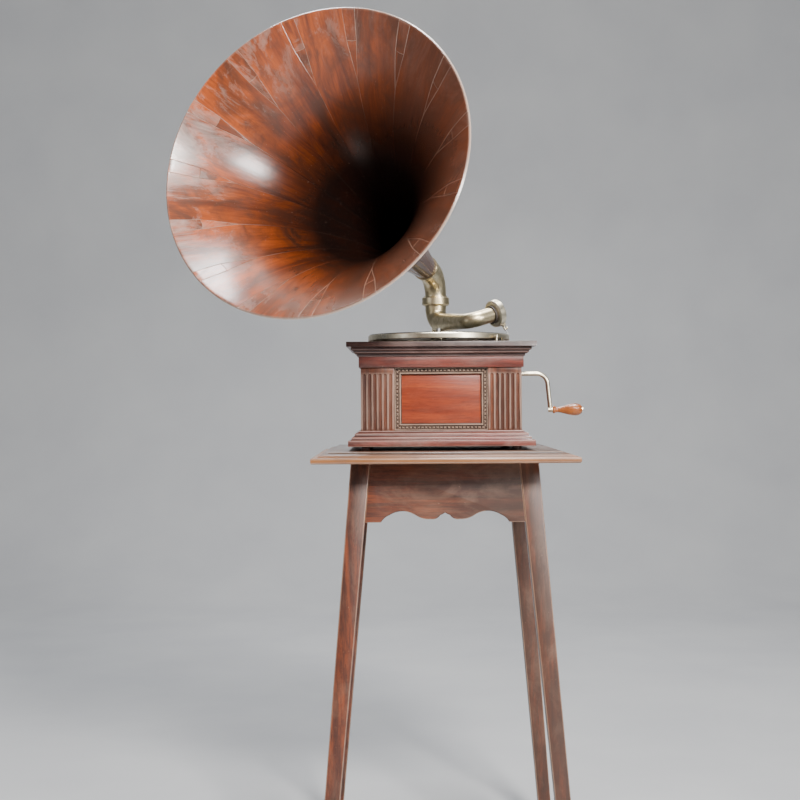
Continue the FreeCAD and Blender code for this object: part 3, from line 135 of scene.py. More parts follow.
class Finish:
    """A node material: most calls add nodes and return the last one's output socket."""

    def __init__(self, name):
        self.material = bpy.data.materials.new(name)
        self.material.use_nodes = True
        self.tree = self.material.node_tree
        self.shader = self.tree.nodes["Principled BSDF"]

    def add(self, kind, inputs=None, output=0, **settings):
        item = self.tree.nodes.new(kind)
        for key, value in settings.items():
            setattr(item, key, value)
        for key, value in (inputs or {}).items():
            if isinstance(value, bpy.types.NodeSocket):
                self.tree.links.new(value, item.inputs[key])
            else:
                item.inputs[key].default_value = value
        return item.outputs[output]

    def attribute(self, name, output="Fac"):
        return self.add("ShaderNodeAttribute", attribute_name=name, output=output)

    def place(self):
        """Metres from the frame's origin."""
        return self.add("ShaderNodeTexCoord", output="Object")

    def share(self, axis, low, high):
        """Nought to one between two places along an axis."""
        value = self.add("ShaderNodeSeparateXYZ", {"Vector": self.place()}, output=axis)
        return self.add("ShaderNodeMapRange", {"Value": value, "From Min": low, "From Max": high})

    def scaled(self, vector, scale, shift=(0.0, 0.0, 0.0)):
        return self.add("ShaderNodeMapping", {"Vector": vector, "Scale": scale, "Location": shift})

    def noise(self, vector, scale, detail=4.0, rough=0.55, warp=0.0):
        return self.add("ShaderNodeTexNoise", {"Vector": vector, "Scale": scale, "Detail": detail,
                                               "Roughness": rough, "Distortion": warp})

    def ramp(self, factor, *stops):
        item = self.tree.nodes.new("ShaderNodeValToRGB")
        self.tree.links.new(factor, item.inputs["Fac"])
        ramp = item.color_ramp
        while len(ramp.elements) < len(stops):
            ramp.elements.new(0.5)
        for element, (place, colour) in zip(ramp.elements, stops):
            element.position = place
            if isinstance(colour, float):
                colour = (colour, colour, colour)
            element.color = (*colour, 1.0)
        return item.outputs["Color"]

    def mix(self, factor, first, second):
        item = self.tree.nodes.new("ShaderNodeMix")
        item.data_type = "RGBA"
        for socket, value in ((item.inputs[0], factor), (item.inputs[6], first), (item.inputs[7], second)):
            if isinstance(value, bpy.types.NodeSocket):
                self.tree.links.new(value, socket)
            elif isinstance(value, float):
                socket.default_value = value
            else:
                socket.default_value = (*value, 1.0)
        return item.outputs[2]

    def math(self, operation, first, second):
        return self.add("ShaderNodeMath", {0: first, 1: second}, operation=operation, use_clamp=True)

    def times(self, first, second):
        return self.math("MULTIPLY", first, second)

    def plus(self, first, second):
        return self.math("ADD", first, second)

    def bump(self, height, strength, distance, normal=None):
        inputs = {"Height": height, "Strength": strength, "Distance": distance}
        if normal is not None:
            inputs["Normal"] = normal
        return self.add("ShaderNodeBump", inputs)

    def drive(self, key, socket):
        self.tree.links.new(socket, self.shader.inputs[key])

    def finish(self, colour, roughness, normal, **values):
        """Links what varies over the surface and sets the shader's uniform values."""
        self.drive("Base Color", colour)
        self.drive("Roughness", roughness)
        self.drive("Normal", normal)
        for key, value in values.items():
            self.shader.inputs[key.replace("_", " ").title().replace("Ior", "IOR")].default_value = value
        return self.material


def shade(colour, factor):
    return tuple(min(1.0, factor * part) for part in colour)


def grain_vector(look, written):
    """Metres along and across the grain: written on new pieces; CAD nodes run along X."""
    if written:
        return look.attribute("grain", "Vector")
    return look.place()


BAND_FADE = 0.010
WORN_EDGE = (0.36, 0.135, 0.034)


def worn_band(look, low, high):
    """One between two heights above the floor, fading out over BAND_FADE beyond them."""
    share = look.share(2, low - BAND_FADE, high + BAND_FADE)
    edge = BAND_FADE / (high - low + 2.0 * BAND_FADE)
    return look.ramp(share, (0.4 * edge, 0.0), (edge, 1.0), (1.0 - edge, 1.0), (1.0 - 0.4 * edge, 0.0))


def wood(name, dark, middle, bright, worn, haze, edge, gloss, written=True,
         band=None, ridges=None, grey=None):
    """Old varnished wood: stretched grain, pores, mottled stain, dusty wear, pale worn edges and painted
    shade in the hollow corners.

    band gives the heights of a rubbed moulding, ridges those of the rubbed flats between flutes, and
    grey is the colour that the wood turns towards from the stand's left side to its right.
    """
    look = Finish(name)
    grain = grain_vector(look, written)
    streaks = look.noise(look.scaled(grain, (14.0, 260.0, 260.0)), 1.0, 6.0, 0.62, 0.4)
    bands = look.noise(look.scaled(grain, (3.5, 42.0, 42.0)), 1.0, 4.0, 0.5, 0.9)
    mottle = look.noise(look.scaled(grain, (17.0, 30.0, 30.0)), 1.0, 5.0, 0.6, 0.6)
    pores = look.noise(look.scaled(grain, (70.0, 1500.0, 1500.0)), 1.0, 2.0, 0.5)
    specks = look.noise(look.scaled(grain, (210.0, 300.0, 300.0)), 1.0, 3.0, 0.6)
    colour = look.ramp(bands, (0.30, dark), (0.50, middle), (0.70, bright))
    colour = look.mix(look.ramp(streaks, (0.38, 0.0), (0.66, 0.75)), colour, dark)
    colour = look.mix(look.ramp(mottle, (0.50, 0.0), (0.72, 0.6)), colour, dark)
    colour = look.mix(look.ramp(pores, (0.56, 0.0), (0.70, 0.5)), colour, shade(dark, 0.35))
    if grey is not None:
        across = look.share(0, HOME.x - 0.2, HOME.x + 0.2)
        colour = look.mix(look.ramp(across, (0.10, 0.0), (0.90, 0.60)), colour, grey)
    drift = look.noise(look.scaled(grain, (9.0, 21.0, 21.0), (3.0, 7.0, 1.0)), 1.0, 8.0, 0.7, 0.5)
    dust = look.ramp(drift, (0.48, 0.0), (0.74, haze))
    colour = look.mix(dust, colour, worn)
    colour = look.mix(look.ramp(specks, (0.70, 0.0), (0.76, 0.55)), colour, worn)
    pale = shade(worn, 1.25)
    if band is not None:
        ragged = look.times(worn_band(look, *band), look.ramp(mottle, (0.35, 0.95), (0.75, 0.40)))
        colour = look.mix(ragged, colour, WORN_EDGE)
    rubbed = look.times(look.attribute("edge"), look.ramp(mottle, (0.30, edge), (0.75, edge * 0.35)))
    colour = look.mix(rubbed, colour, pale)
    if ridges is not None:
        rubbing = look.times(worn_band(look, *ridges), look.ramp(streaks, (0.35, 0.72), (0.66, 0.20)))
        colour = look.mix(look.times(look.attribute("ridge"), rubbing), colour, pale)
    # Painted shade: rounded faces in the hollow corners are darkened towards a quarter of the dark colour.
    colour = look.mix(look.times(look.attribute("hollow_shade"), 0.85), colour, shade(dark, 0.25))
    dull = look.plus(dust, look.times(streaks, 0.35))
    roughness = look.ramp(dull, (0.0, gloss), (0.9, gloss + 0.38))
    relief = look.bump(pores, 0.25, 0.0004, look.bump(streaks, 0.35, 0.0006))
    return look.finish(colour, roughness, relief,
                       coat_weight=0.25, coat_roughness=0.18, specular_ior_level=0.45)


def horn_wood():
    """Polished, mottled horn wood: painted shade down the throat and on the side away from the light; hazy
    and rubbed towards the rim, the haze partly bloom and partly painted sheen, and the rim's edge pale,
    partly from wear and partly as a painted highlight.
    """
    look = Finish("horn_mahogany")
    grain = look.attribute("grain", "Vector")
    reach, lit_side, seam = look.attribute("reach"), look.attribute("lit_side"), look.attribute("seam")
    streaks = look.noise(look.scaled(grain, (16.0, 300.0, 1.0)), 1.0, 5.0, 0.55, 0.7)
    ribbons = look.noise(look.scaled(grain, (4.0, 30.0, 1.0)), 1.0, 6.0, 0.62, 0.8)
    cloud = look.noise(look.scaled(grain, (13.0, 19.0, 1.0), (2.0, 5.0, 0.0)), 1.0, 7.0, 0.62, 1.0)
    pores = look.noise(look.scaled(grain, (160.0, 1900.0, 1.0)), 1.0, 2.0, 0.5)
    mist = look.noise(look.scaled(grain, (9.0, 20.0, 1.0), (9.0, 1.0, 0.0)), 1.0, 9.0, 0.72, 0.7)
    scuffs = look.noise(look.scaled(grain, (300.0, 420.0, 1.0)), 1.0, 3.0, 0.7)

    dark, red, orange = (0.045, 0.015, 0.008), (0.23, 0.046, 0.012), (0.52, 0.098, 0.014)
    brown, shaded, throat = (0.095, 0.033, 0.017), (0.110, 0.044, 0.026), (0.006, 0.003, 0.0025)
    pale, seam_pale = (0.46, 0.32, 0.27), (0.50, 0.35, 0.27)
    seam_dark, rim_wear_and_highlight = (0.03, 0.014, 0.009), (0.58, 0.44, 0.36)

    colour = look.ramp(ribbons, (0.26, dark), (0.40, red), (0.58, orange))
    colour = look.mix(look.ramp(streaks, (0.46, 0.0), (0.74, 0.50)), colour, dark)
    colour = look.mix(look.ramp(cloud, (0.42, 0.0), (0.62, 0.88)), colour, brown)
    # Painted shade: the side of the horn away from the light is mixed towards a dull brown, and the lit side
    # keeps its orange.
    colour = look.mix(look.ramp(lit_side, (0.25, 0.84), (0.72, 0.0)), colour, shaded)
    # Painted shade: down the throat the colour darkens to near black.
    depth = look.plus(reach, look.times(cloud, 0.10))
    colour = look.mix(look.ramp(depth, (0.62, 0.985), (0.76, 0.74), (0.95, 0.0)), colour, throat)
    near_rim = look.ramp(reach, (0.82, 0.0), (0.975, 1.0))
    # Towards the rim on the lit side, a pale haze: partly a bloom on the varnish, partly painted sheen of
    # light on it.
    rim_bloom_and_sheen = look.times(near_rim, look.ramp(lit_side, (0.35, 0.12), (0.85, 1.0)))
    haze = look.times(look.ramp(mist, (0.47, 0.0), (0.66, 0.75)), rim_bloom_and_sheen)
    colour = look.mix(haze, colour, pale)
    colour = look.mix(look.ramp(scuffs, (0.69, 0.0), (0.76, 0.5)), colour, pale)
    broken = look.ramp(mist, (0.36, 0.15), (0.56, 1.0))
    shown = look.times(look.ramp(reach, (0.72, 0.03), (0.90, 0.85)), broken)
    worn_seam = look.times(look.ramp(seam, (0.10, 0.0), (0.45, 0.8)), shown)
    colour = look.mix(worn_seam, colour, seam_pale)
    open_seam = look.times(look.ramp(seam, (0.80, 0.0), (0.98, 0.8)), shown)
    colour = look.mix(open_seam, colour, seam_dark)
    # The rim's end face is pale and brightest at its outer edge: partly wear, partly a painted highlight
    # where light catches it.
    colour = look.mix(look.attribute("rim"), colour, rim_wear_and_highlight)

    roughness = look.ramp(look.plus(haze, look.times(cloud, 0.35)), (0.0, 0.19), (0.9, 0.46))
    look.drive("Coat Weight", look.ramp(reach, (0.70, 0.0), (0.86, 0.40)))
    relief = look.bump(ribbons, 0.35, 0.0014, look.bump(streaks, 0.16, 0.0005))
    return look.finish(colour, roughness, look.bump(pores, 0.12, 0.0003, relief),
                       coat_roughness=0.16, specular_ior_level=0.42)


def metal(name, clean, stained, spotted, rough, scale=60.0):
    """Plated or bare metal with tarnish, pitting and fine scratches."""
    look = Finish(name)
    place = look.place()
    stain = look.noise(place, scale, 7.0, 0.65, 0.6)
    pits = look.noise(place, scale * 22.0, 3.0, 0.7)
    lines = look.noise(look.scaled(place, (scale * 14.0, scale * 3.0, scale)), 1.0, 2.0, 0.5)
    colour = look.ramp(stain, (0.36, clean), (0.60, stained), (0.80, spotted))
    colour = look.mix(look.ramp(pits, (0.62, 0.0), (0.76, 0.7)), colour, spotted)
    dull = look.plus(look.times(stain, 0.7), look.times(pits, 0.3))
    roughness = look.ramp(dull, (0.25, rough), (0.80, rough + 0.30))
    fine = look.bump(lines, 0.05, 0.0002)
    return look.finish(colour, roughness, look.bump(pits, 0.12, 0.0002, fine), metallic=1.0)


def matte(name, base, light, scale, rough, depth, **values):
    """Felt, rubber or mica: a speckled surface with a soft relief."""
    look = Finish(name)
    place = look.place()
    coarse = look.noise(place, scale, 5.0, 0.6, 0.4)
    fibre = look.noise(place, scale * 16.0, 4.0, 0.75)
    speckle = look.plus(look.times(coarse, 0.5), look.times(fibre, 0.5))
    colour = look.ramp(speckle, (0.36, base), (0.66, light))
    roughness = look.ramp(fibre, (0.3, rough), (0.7, min(1.0, rough + 0.12)))
    return look.finish(colour, roughness, look.bump(fibre, 0.5, depth), **values)


def make_looks():
    return {
        "horn_wood": horn_wood(),
        "case_wood": wood("case_oak_stain", (0.040, 0.015, 0.011), (0.125, 0.034, 0.021),
                          (0.210, 0.046, 0.022), (0.36, 0.22, 0.17), 0.45, 0.9, 0.30),
        "pilaster_wood": wood("pilaster_oak_stain", (0.055, 0.018, 0.010), (0.165, 0.045, 0.019),
                              (0.270, 0.074, 0.026), (0.36, 0.245, 0.19), 0.28, 0.9, 0.32,
                              ridges=(0.7790, 0.8680)),
        "frieze_wood": wood("frieze_oak_stain", (0.060, 0.013, 0.009), (0.200, 0.034, 0.020),
                            (0.290, 0.045, 0.022), (0.34, 0.19, 0.15), 0.34, 0.85, 0.30),
        "slab_wood": wood("slab_oak_stain", (0.030, 0.014, 0.012), (0.080, 0.034, 0.028),
                          (0.110, 0.044, 0.032), (0.26, 0.165, 0.14), 0.50, 0.85, 0.30),
        "base_wood": wood("base_oak_stain", (0.070, 0.022, 0.016), (0.250, 0.066, 0.046),
                          (0.370, 0.060, 0.046), (0.42, 0.27, 0.22), 0.50, 1.0, 0.32),
        "carved_wood": wood("carved_oak_stain", (0.028, 0.012, 0.009), (0.080, 0.034, 0.022),
                            (0.130, 0.050, 0.030), (0.38, 0.27, 0.20), 0.35, 1.0, 0.28),
        "panel_wood": wood("panel_mahogany", (0.20, 0.030, 0.011), (0.36, 0.056, 0.016),
                           (0.44, 0.078, 0.019), (0.46, 0.18, 0.11), 0.20, 0.6, 0.26),
        "stand_wood": wood("stand_oak", (0.040, 0.014, 0.009), (0.150, 0.036, 0.014),
                           (0.340, 0.072, 0.017), (0.34, 0.20, 0.13), 0.34, 0.85, 0.36,
                           grey=(0.075, 0.042, 0.029)),
        "stand_top_wood": wood("stand_top_oak", (0.055, 0.028, 0.018), (0.140, 0.065, 0.038),
                               (0.210, 0.095, 0.050), (0.36, 0.25, 0.19), 0.55, 0.90, 0.38,
                               band=(0.7175, 0.7310)),
        "inner_wood": wood("inner_pine", (0.11, 0.055, 0.026), (0.20, 0.11, 0.055),
                           (0.28, 0.17, 0.09), (0.30, 0.22, 0.15), 0.3, 0.2, 0.55, written=False),
        "knob_wood": wood("knob_beech", (0.26, 0.065, 0.015), (0.45, 0.130, 0.028),
                          (0.58, 0.19, 0.042), (0.60, 0.34, 0.16), 0.15, 0.3, 0.20, written=False),
        "aged_nickel": metal("aged_nickel_plate", (0.66, 0.57, 0.38), (0.44, 0.36, 0.21),
                             (0.17, 0.13, 0.08), 0.22),
        "bright_nickel": metal("bright_nickel_plate", (0.80, 0.73, 0.57), (0.62, 0.55, 0.40),
                               (0.28, 0.24, 0.17), 0.20),
        "steel": metal("grey_steel", (0.42, 0.42, 0.42), (0.30, 0.29, 0.28), (0.14, 0.11, 0.09), 0.30),
        "motor_iron": metal("black_iron", (0.09, 0.09, 0.09), (0.06, 0.055, 0.05), (0.13, 0.07, 0.04), 0.42),
        "gear_brass": metal("gear_brass_plate", (0.62, 0.45, 0.19), (0.48, 0.33, 0.13),
                            (0.22, 0.14, 0.06), 0.24),
        "dark_felt": matte("worn_felt", (0.010, 0.012, 0.010), (0.040, 0.042, 0.036), 70.0, 0.86, 0.0010,
                           sheen_weight=0.25, sheen_roughness=0.5),
        "rubber_seal": matte("old_rubber", (0.022, 0.018, 0.015), (0.075, 0.058, 0.045), 90.0, 0.55, 0.0003),
        "mica": matte("clouded_mica", (0.30, 0.25, 0.17), (0.62, 0.56, 0.42), 120.0, 0.16, 0.0001,
                      coat_weight=0.6, coat_roughness=0.08),
    }


# ---------------------------------------------------------------- pieces


def finish_piece(name, mesh, body, look, replaced=(), crease=30.0):
    """Adds a piece to its body and slot; edges sharper than crease, in degrees, stay sharp."""
    mesh.materials.clear()
    mesh.materials.append(look)
    mesh.shade_smooth()
    mesh.set_sharp_from_angle(angle=math.radians(crease))
    item = bpy.data.objects.new(name, mesh)
    bpy.context.scene.collection.objects.link(item)
    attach(item, body)
    if replaced:
        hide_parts(*replaced)


def parts_of(bm):
    """The connected parts of a mesh, as lists of vertices."""
    seen, parts = set(), []
    for start in bm.verts:
        if start in seen:
            continue
        seen.add(start)
        stack, part = [start], []
        while stack:
            vert = stack.pop()
            part.append(vert)
            for edge in vert.link_edges:
                other = edge.other_vert(vert)
                if other not in seen:
                    seen.add(other)
                    stack.append(other)
        parts.append(part)
    return parts


def long_axis(points):
    spread = points.max(0) - points.min(0)
    return int(np.argmax(spread))


def write_grain(bm, axis=None):
    """Metres along and across each board's own grain, with a shift of its own, as "grain"."""
    layer = bm.verts.layers.float_vector.new("grain")
    for part in parts_of(bm):
        points = np.array([vert.co for vert in part])
        along = long_axis(points) if axis is None else axis
        shift = Vector([RANDOM.uniform(-3.0, 3.0) for _ in range(3)])
        order = [along, (along + 1) % 3, (along + 2) % 3]
        for vert in part:
            vert[layer] = Vector([vert.co[index] for index in order]) + shift


def evaluated(item):
    """The item's mesh with its modifiers applied."""
    graph = bpy.context.evaluated_depsgraph_get()
    graph.update()
    return bpy.data.meshes.new_from_object(item.evaluated_get(graph), preserve_all_data_layers=True,
                                           depsgraph=graph)


def mark_edges(mesh):
    """Rounded faces are marked "edge" where they stand out, and those in the hollow corners get a second
    mark that paints shade there.
    """
    bm = bmesh.new()
    bm.from_mesh(mesh)
    worn, hollow_shade_marks = [], []
    for face in bm.faces:
        centre = face.calc_center_median()
        rise = 0.0
        for edge in face.edges:
            for other in edge.link_faces:
                if other is not face and other.material_index == 0:
                    rise += face.normal.dot((other.calc_center_median() - centre).normalized())
        worn.append(float(face.material_index == 1 and rise <= 0.0))
        hollow_shade_marks.append(float(face.material_index == 1 and rise > 0.0))
    bm.free()
    for key, values in (("edge", worn), ("hollow_shade", hollow_shade_marks)):
        mesh.attributes.new(key, "FLOAT", "FACE").data.foreach_set("value", values)


def mark_ridges(mesh):
    """The outermost flats of the fluted posts, which are rubbed pale, are marked "ridge"."""
    reach = max(abs(vert.co.y - HOME.y) for vert in mesh.vertices)
    ridges = []
    for face in mesh.polygons:
        offset = face.center - HOME
        outermost = max(abs(offset.x), abs(offset.y)) > reach - 0.0004
        ridges.append(float(outermost and abs(face.normal.z) < 0.5))
    mesh.attributes.new("ridge", "FLOAT", "FACE").data.foreach_set("value", ridges)


FLAT_ANGLE, BEVEL_ANGLE = math.radians(0.6), math.radians(28.0)


def softened(node, width, look, axis):
    """A copy of a CAD node with its arrises rounded, which are marked "edge" for wear."""
    bm = bmesh.new()
    bm.from_mesh(NODES[node].data)
    bmesh.ops.remove_doubles(bm, verts=bm.verts, dist=1e-6)
    bmesh.ops.dissolve_limit(bm, angle_limit=FLAT_ANGLE, verts=bm.verts, edges=bm.edges)
    write_grain(bm, axis)
    rough = bpy.data.meshes.new(node + "_rough")
    bm.to_mesh(rough)
    bm.free()
    rough.materials.append(look)
    rough.materials.append(look)
    item = bpy.data.objects.new(node + "_rough", rough)
    bpy.context.scene.collection.objects.link(item)
    bevel = item.modifiers.new("round", "BEVEL")
    bevel.width = width
    bevel.segments = 2
    bevel.limit_method = "ANGLE"
    bevel.angle_limit = BEVEL_ANGLE
    bevel.material = 1
    mesh = evaluated(item)
    bpy.data.objects.remove(item)
    bpy.data.meshes.remove(rough)
    mesh.name = node + "_soft"
    mark_edges(mesh)
    if node == "corner_posts":
        mark_ridges(mesh)
    mesh.polygons.foreach_set("material_index", [0] * len(mesh.polygons))
    finish_piece(node + "_worn", mesh, NODES[node]["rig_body"], look, (node,))


# ---------------------------------------------------------------- horn

HORN_TURN, HORN_TILT = math.radians(22.1), math.radians(14.4)
HORN_AXIS = Vector((-math.sin(HORN_TURN) * math.cos(HORN_TILT),
                    -math.cos(HORN_TURN) * math.cos(HORN_TILT), math.sin(HORN_TILT)))
ELBOW_BEND, ELBOW_RISE, SOCKET_LENGTH = 0.045, 0.003, 0.022
ELBOW_REACH = ELBOW_BEND * math.tan(0.5 * (0.5 * math.pi - HORN_TILT))
HORN_START = (HOME + Vector((0.0, 0.185, 1.025 + ELBOW_RISE + ELBOW_REACH))
              + HORN_AXIS * (ELBOW_REACH + SOCKET_LENGTH))
SMALL_RADIUS, TAPER, FLARE, POWER = 0.0215, 0.0705, 0.171, 2.9
HORN_LENGTH = 0.507
HORN_WALL = 0.005
STAVES = 15
STEP = 2.0 * math.pi / STAVES
# The angle of the horn's side that is painted as lit; the opposite side is painted in shade.
LIT_SIDE_ANGLE = math.radians(150.0)
# The outer face starts its reach here, so it takes part of the throat's painted shade, most of it by the
# neck.
OUTSIDE_REACH = 0.80
TIP_RADIUS, JOINT_RADIUS = 0.177, 0.222
JOINT_HALF, RIM_HALF, RIM_FAR = 0.009, 0.013, 0.283
GROOVE_WIDTH, GROOVE_DEPTH = 0.0007, 0.0005
LIP_WIDTH, LIP_DEPTH = 0.0022, 0.0011
BOW_DEPTH, BOW_FADE = 0.0016, 0.04
NECK_END, RIM_END = 0.0003, 0.9995
GRAIN_STEP = 7.31
HORN_FRAME = (Matrix.Translation(HORN_START)
              @ Vector((0, 0, 1)).rotation_difference(HORN_AXIS).to_matrix().to_4x4())


def outer_radius(share):
    return SMALL_RADIUS + TAPER * share + FLARE * share ** POWER


def wall_tilt(share):
    return math.atan((TAPER + FLARE * POWER * max(share, 1e-6) ** (POWER - 1.0)) / HORN_LENGTH)


def inner_radius(share):
    return outer_radius(share) - HORN_WALL * math.cos(wall_tilt(share))


def share_at(radius):
    """The share of the horn's length where the inner radius has this value."""
    low, high = 0.0, 1.0
    for _ in range(40):
        middle = 0.5 * (low + high)
        if inner_radius(middle) < radius:
            low = middle
        else:
            high = middle
    return low


def wedge_half(share):
    """Half the gap between neighbouring staves, in metres."""
    radius = inner_radius(share)
    if radius <= TIP_RADIUS:
        return 0.0
    if radius <= JOINT_RADIUS:
        return JOINT_HALF * (radius - TIP_RADIUS) / (JOINT_RADIUS - TIP_RADIUS)
    return JOINT_HALF + (RIM_HALF - JOINT_HALF) * (radius - JOINT_RADIUS) / (RIM_FAR - JOINT_RADIUS)


def stations(first, last, count, groove_first, groove_last):
    """Shares of the length along a plate, with close pairs where a groove is cut at an end."""
    shares = list(np.linspace(first, last, count))
    for grooved, end, way in ((groove_first, first, 1.0), (groove_last, last, -1.0)):
        if grooved:
            stretch = HORN_LENGTH / math.cos(wall_tilt(end))
            shares += [end + way * GROOVE_WIDTH / stretch, end + way * 2.5 * GROOVE_WIDTH / stretch]
    return sorted(shares)


def columns(half, count):
    """Places across a plate, in metres, with close columns at both sides for the groove."""
    edge = min(GROOVE_WIDTH, 0.25 * half)
    inside = half - 2.5 * edge
    middle = list(np.linspace(-inside, inside, count))
    return [-half, -half + edge] + middle + [half - edge, half]


def horn_plate(centre, bounds, shares, across, ends, bow, number):
    """One piece of the horn's wall: a closed shell between two angles at each station."""
    wide = across + 4
    points, grain, seams, reaches, rim_wear_and_highlights = [], [], [], [], []
    length = 0.0
    for row, share in enumerate(shares):
        tilt = wall_tilt(share)
        if row:
            length += (share - shares[row - 1]) * HORN_LENGTH / math.cos(tilt)
        half = bounds(share)
        along_edge = 0.0
        for end, grooved in zip((shares[0], shares[-1]), ends):
            gap = abs(share - end) * HORN_LENGTH / math.cos(tilt)
            if grooved:
                along_edge = max(along_edge, 1.0 - gap / GROOVE_WIDTH)
        for side in (0, 1):
            for place in columns(half, across):
                shift = bow(share) * (1.0 - (place / half) ** 2)
                here = share - shift
                slope = wall_tilt(here)
                radius, height = outer_radius(here), here * HORN_LENGTH
                mark = max(along_edge, 1.0 - (half - abs(place)) / GROOVE_WIDTH, 0.0)
                lip = max(0.0, 1.0 - (1.0 - share) * HORN_LENGTH / (LIP_WIDTH * math.cos(slope)))
                depth = GROOVE_DEPTH * mark + LIP_DEPTH * lip ** 2
                sink = HORN_WALL - depth if side else depth
                radius -= sink * math.cos(slope)
                height += sink * math.sin(slope)
                angle = centre + place / inner_radius(share)
                points.append((radius * math.cos(angle), radius * math.sin(angle), height))
                grain.append((length, place, number * GRAIN_STEP))
                seams.append(mark)
                outside = OUTSIDE_REACH + (1.0 - OUTSIDE_REACH) * share
                reaches.append(share if side else outside)
                # Pale rim mark, full on the outer edge and faint on the inner: partly wear, partly painted
                # highlight.
                rim_wear_and_highlights.append(min(1.0, lip * 1.6) * (0.2 if side else 1.0))
    faces = []

    def at(row, side, column):
        return (row * 2 + side) * wide + column

    for row in range(len(shares) - 1):
        for column in range(wide - 1):
            faces.append((at(row, 0, column), at(row, 0, column + 1),
                          at(row + 1, 0, column + 1), at(row + 1, 0, column)))
            faces.append((at(row, 1, column), at(row + 1, 1, column),
                          at(row + 1, 1, column + 1), at(row, 1, column + 1)))
        faces.append((at(row, 0, 0), at(row + 1, 0, 0), at(row + 1, 1, 0), at(row, 1, 0)))
        last = wide - 1
        faces.append((at(row, 0, last), at(row, 1, last), at(row + 1, 1, last), at(row + 1, 0, last)))
    for column in range(wide - 1):
        faces.append((at(0, 0, column), at(0, 1, column), at(0, 1, column + 1), at(0, 0, column + 1)))
        row = len(shares) - 1
        faces.append((at(row, 0, column), at(row, 0, column + 1),
                      at(row, 1, column + 1), at(row, 1, column)))
    return points, faces, grain, seams, reaches, rim_wear_and_highlights


def plates_mesh(name, plates):
    """One mesh of many horn plates, with their attributes."""
    points, faces, grain, seams, reaches, rim_wear_and_highlights = [], [], [], [], [], []
    for plate in plates:
        base = len(points)
        points += plate[0]
        faces += [tuple(base + corner for corner in face) for face in plate[1]]
        for kept, more in zip((grain, seams, reaches, rim_wear_and_highlights), plate[2:]):
            kept += more
    angles = [math.atan2(point[1], point[0]) for point in points]
    # One on the side painted as lit, nought on the side painted in shade.
    lit_side = [0.5 + 0.5 * math.cos(angle - LIT_SIDE_ANGLE) for angle in angles]
    mesh = bpy.data.meshes.new(name)
    mesh.from_pydata([HORN_FRAME @ Vector(point) for point in points], [], faces)
    vectors = mesh.attributes.new("grain", "FLOAT_VECTOR", "POINT")
    vectors.data.foreach_set("vector", np.array(grain, np.float32).ravel())
    for key, values in (("seam", seams), ("reach", reaches), ("rim", rim_wear_and_highlights), ("lit_side", lit_side)):
        layer = mesh.attributes.new(key, "FLOAT", "POINT")
        layer.data.foreach_set("value", np.array(values, np.float32))
    bm = bmesh.new()
    bm.from_mesh(mesh)
    bmesh.ops.recalc_face_normals(bm, faces=bm.faces)
    bm.to_mesh(mesh)
    bm.free()
    return mesh


def no_bow(share):
    return 0.0


def make_horn(look):
    tip, joint = share_at(TIP_RADIUS), share_at(JOINT_RADIUS)
    bow_depth = BOW_DEPTH * math.cos(wall_tilt(joint)) / HORN_LENGTH

    def bow(share):
        return bow_depth * max(0.0, 1.0 - abs(share - joint) / BOW_FADE)

    def stave_half(share):
        return 0.5 * STEP * inner_radius(share) - wedge_half(share)

    shares = sorted(set(list(np.linspace(NECK_END, 0.62, 20)) + list(np.linspace(0.62, tip, 14))
                        + list(np.linspace(tip, joint, 14)) + list(np.linspace(joint, 0.994, 12))
                        + [0.996, 0.998, RIM_END]))
    spear = stations(tip + 0.002, joint, 16, False, True)
    filler = stations(joint, RIM_END, 14, True, False)
    staves, wedges = [], []
    for index in range(STAVES):
        centre = index * STEP
        between = centre + 0.5 * STEP
        staves.append(horn_plate(centre, stave_half, shares, 9, (False, False), no_bow, index))
        wedges.append(horn_plate(between, wedge_half, spear, 3, (False, True), bow, index + 20))
        wedges.append(horn_plate(between, wedge_half, filler, 3, (True, False), bow, index + 40))
    finish_piece("horn_stave_set", plates_mesh("horn_stave_set", staves), "horn", look,
                 ("horn_staves",), 24.0)
    finish_piece("horn_wedge_set", plates_mesh("horn_wedge_set", wedges), "horn", look,
                 ("horn_wedges",), 24.0)


# ---------------------------------------------------------------- carved panel frames

FRAME_OUTER = 0.0800
FRAME_LOW, FRAME_HIGH = 0.7736, 0.8814
PANEL_FACE = 0.1285
FRAME_PROFILE = ((0.0003, 0.0002), (0.0003, 0.0040), (0.0009, 0.0048), (0.0020, 0.0048), (0.0024, 0.0030),
                 (0.0082, 0.0030), (0.0086, 0.0046), (0.0094, 0.0056), (0.0106, 0.0056), (0.0112, 0.0046),
                 (0.0114, 0.0028), (0.0124, 0.0016), (0.0128, 0.0002))
CARVING_PITCH, CARVING_INSET, CARVING_RISE, CARVING_LEAN = 0.0064, 0.0052, 0.0030, 0.70
BEAD_SIZE = (0.0042, 0.0012, 0.0024)
BEAD_RINGS, BEAD_SIDES = 6, 8
RUBBED_FROM, RUBBED_DEPTH = 0.0036, 0.0012


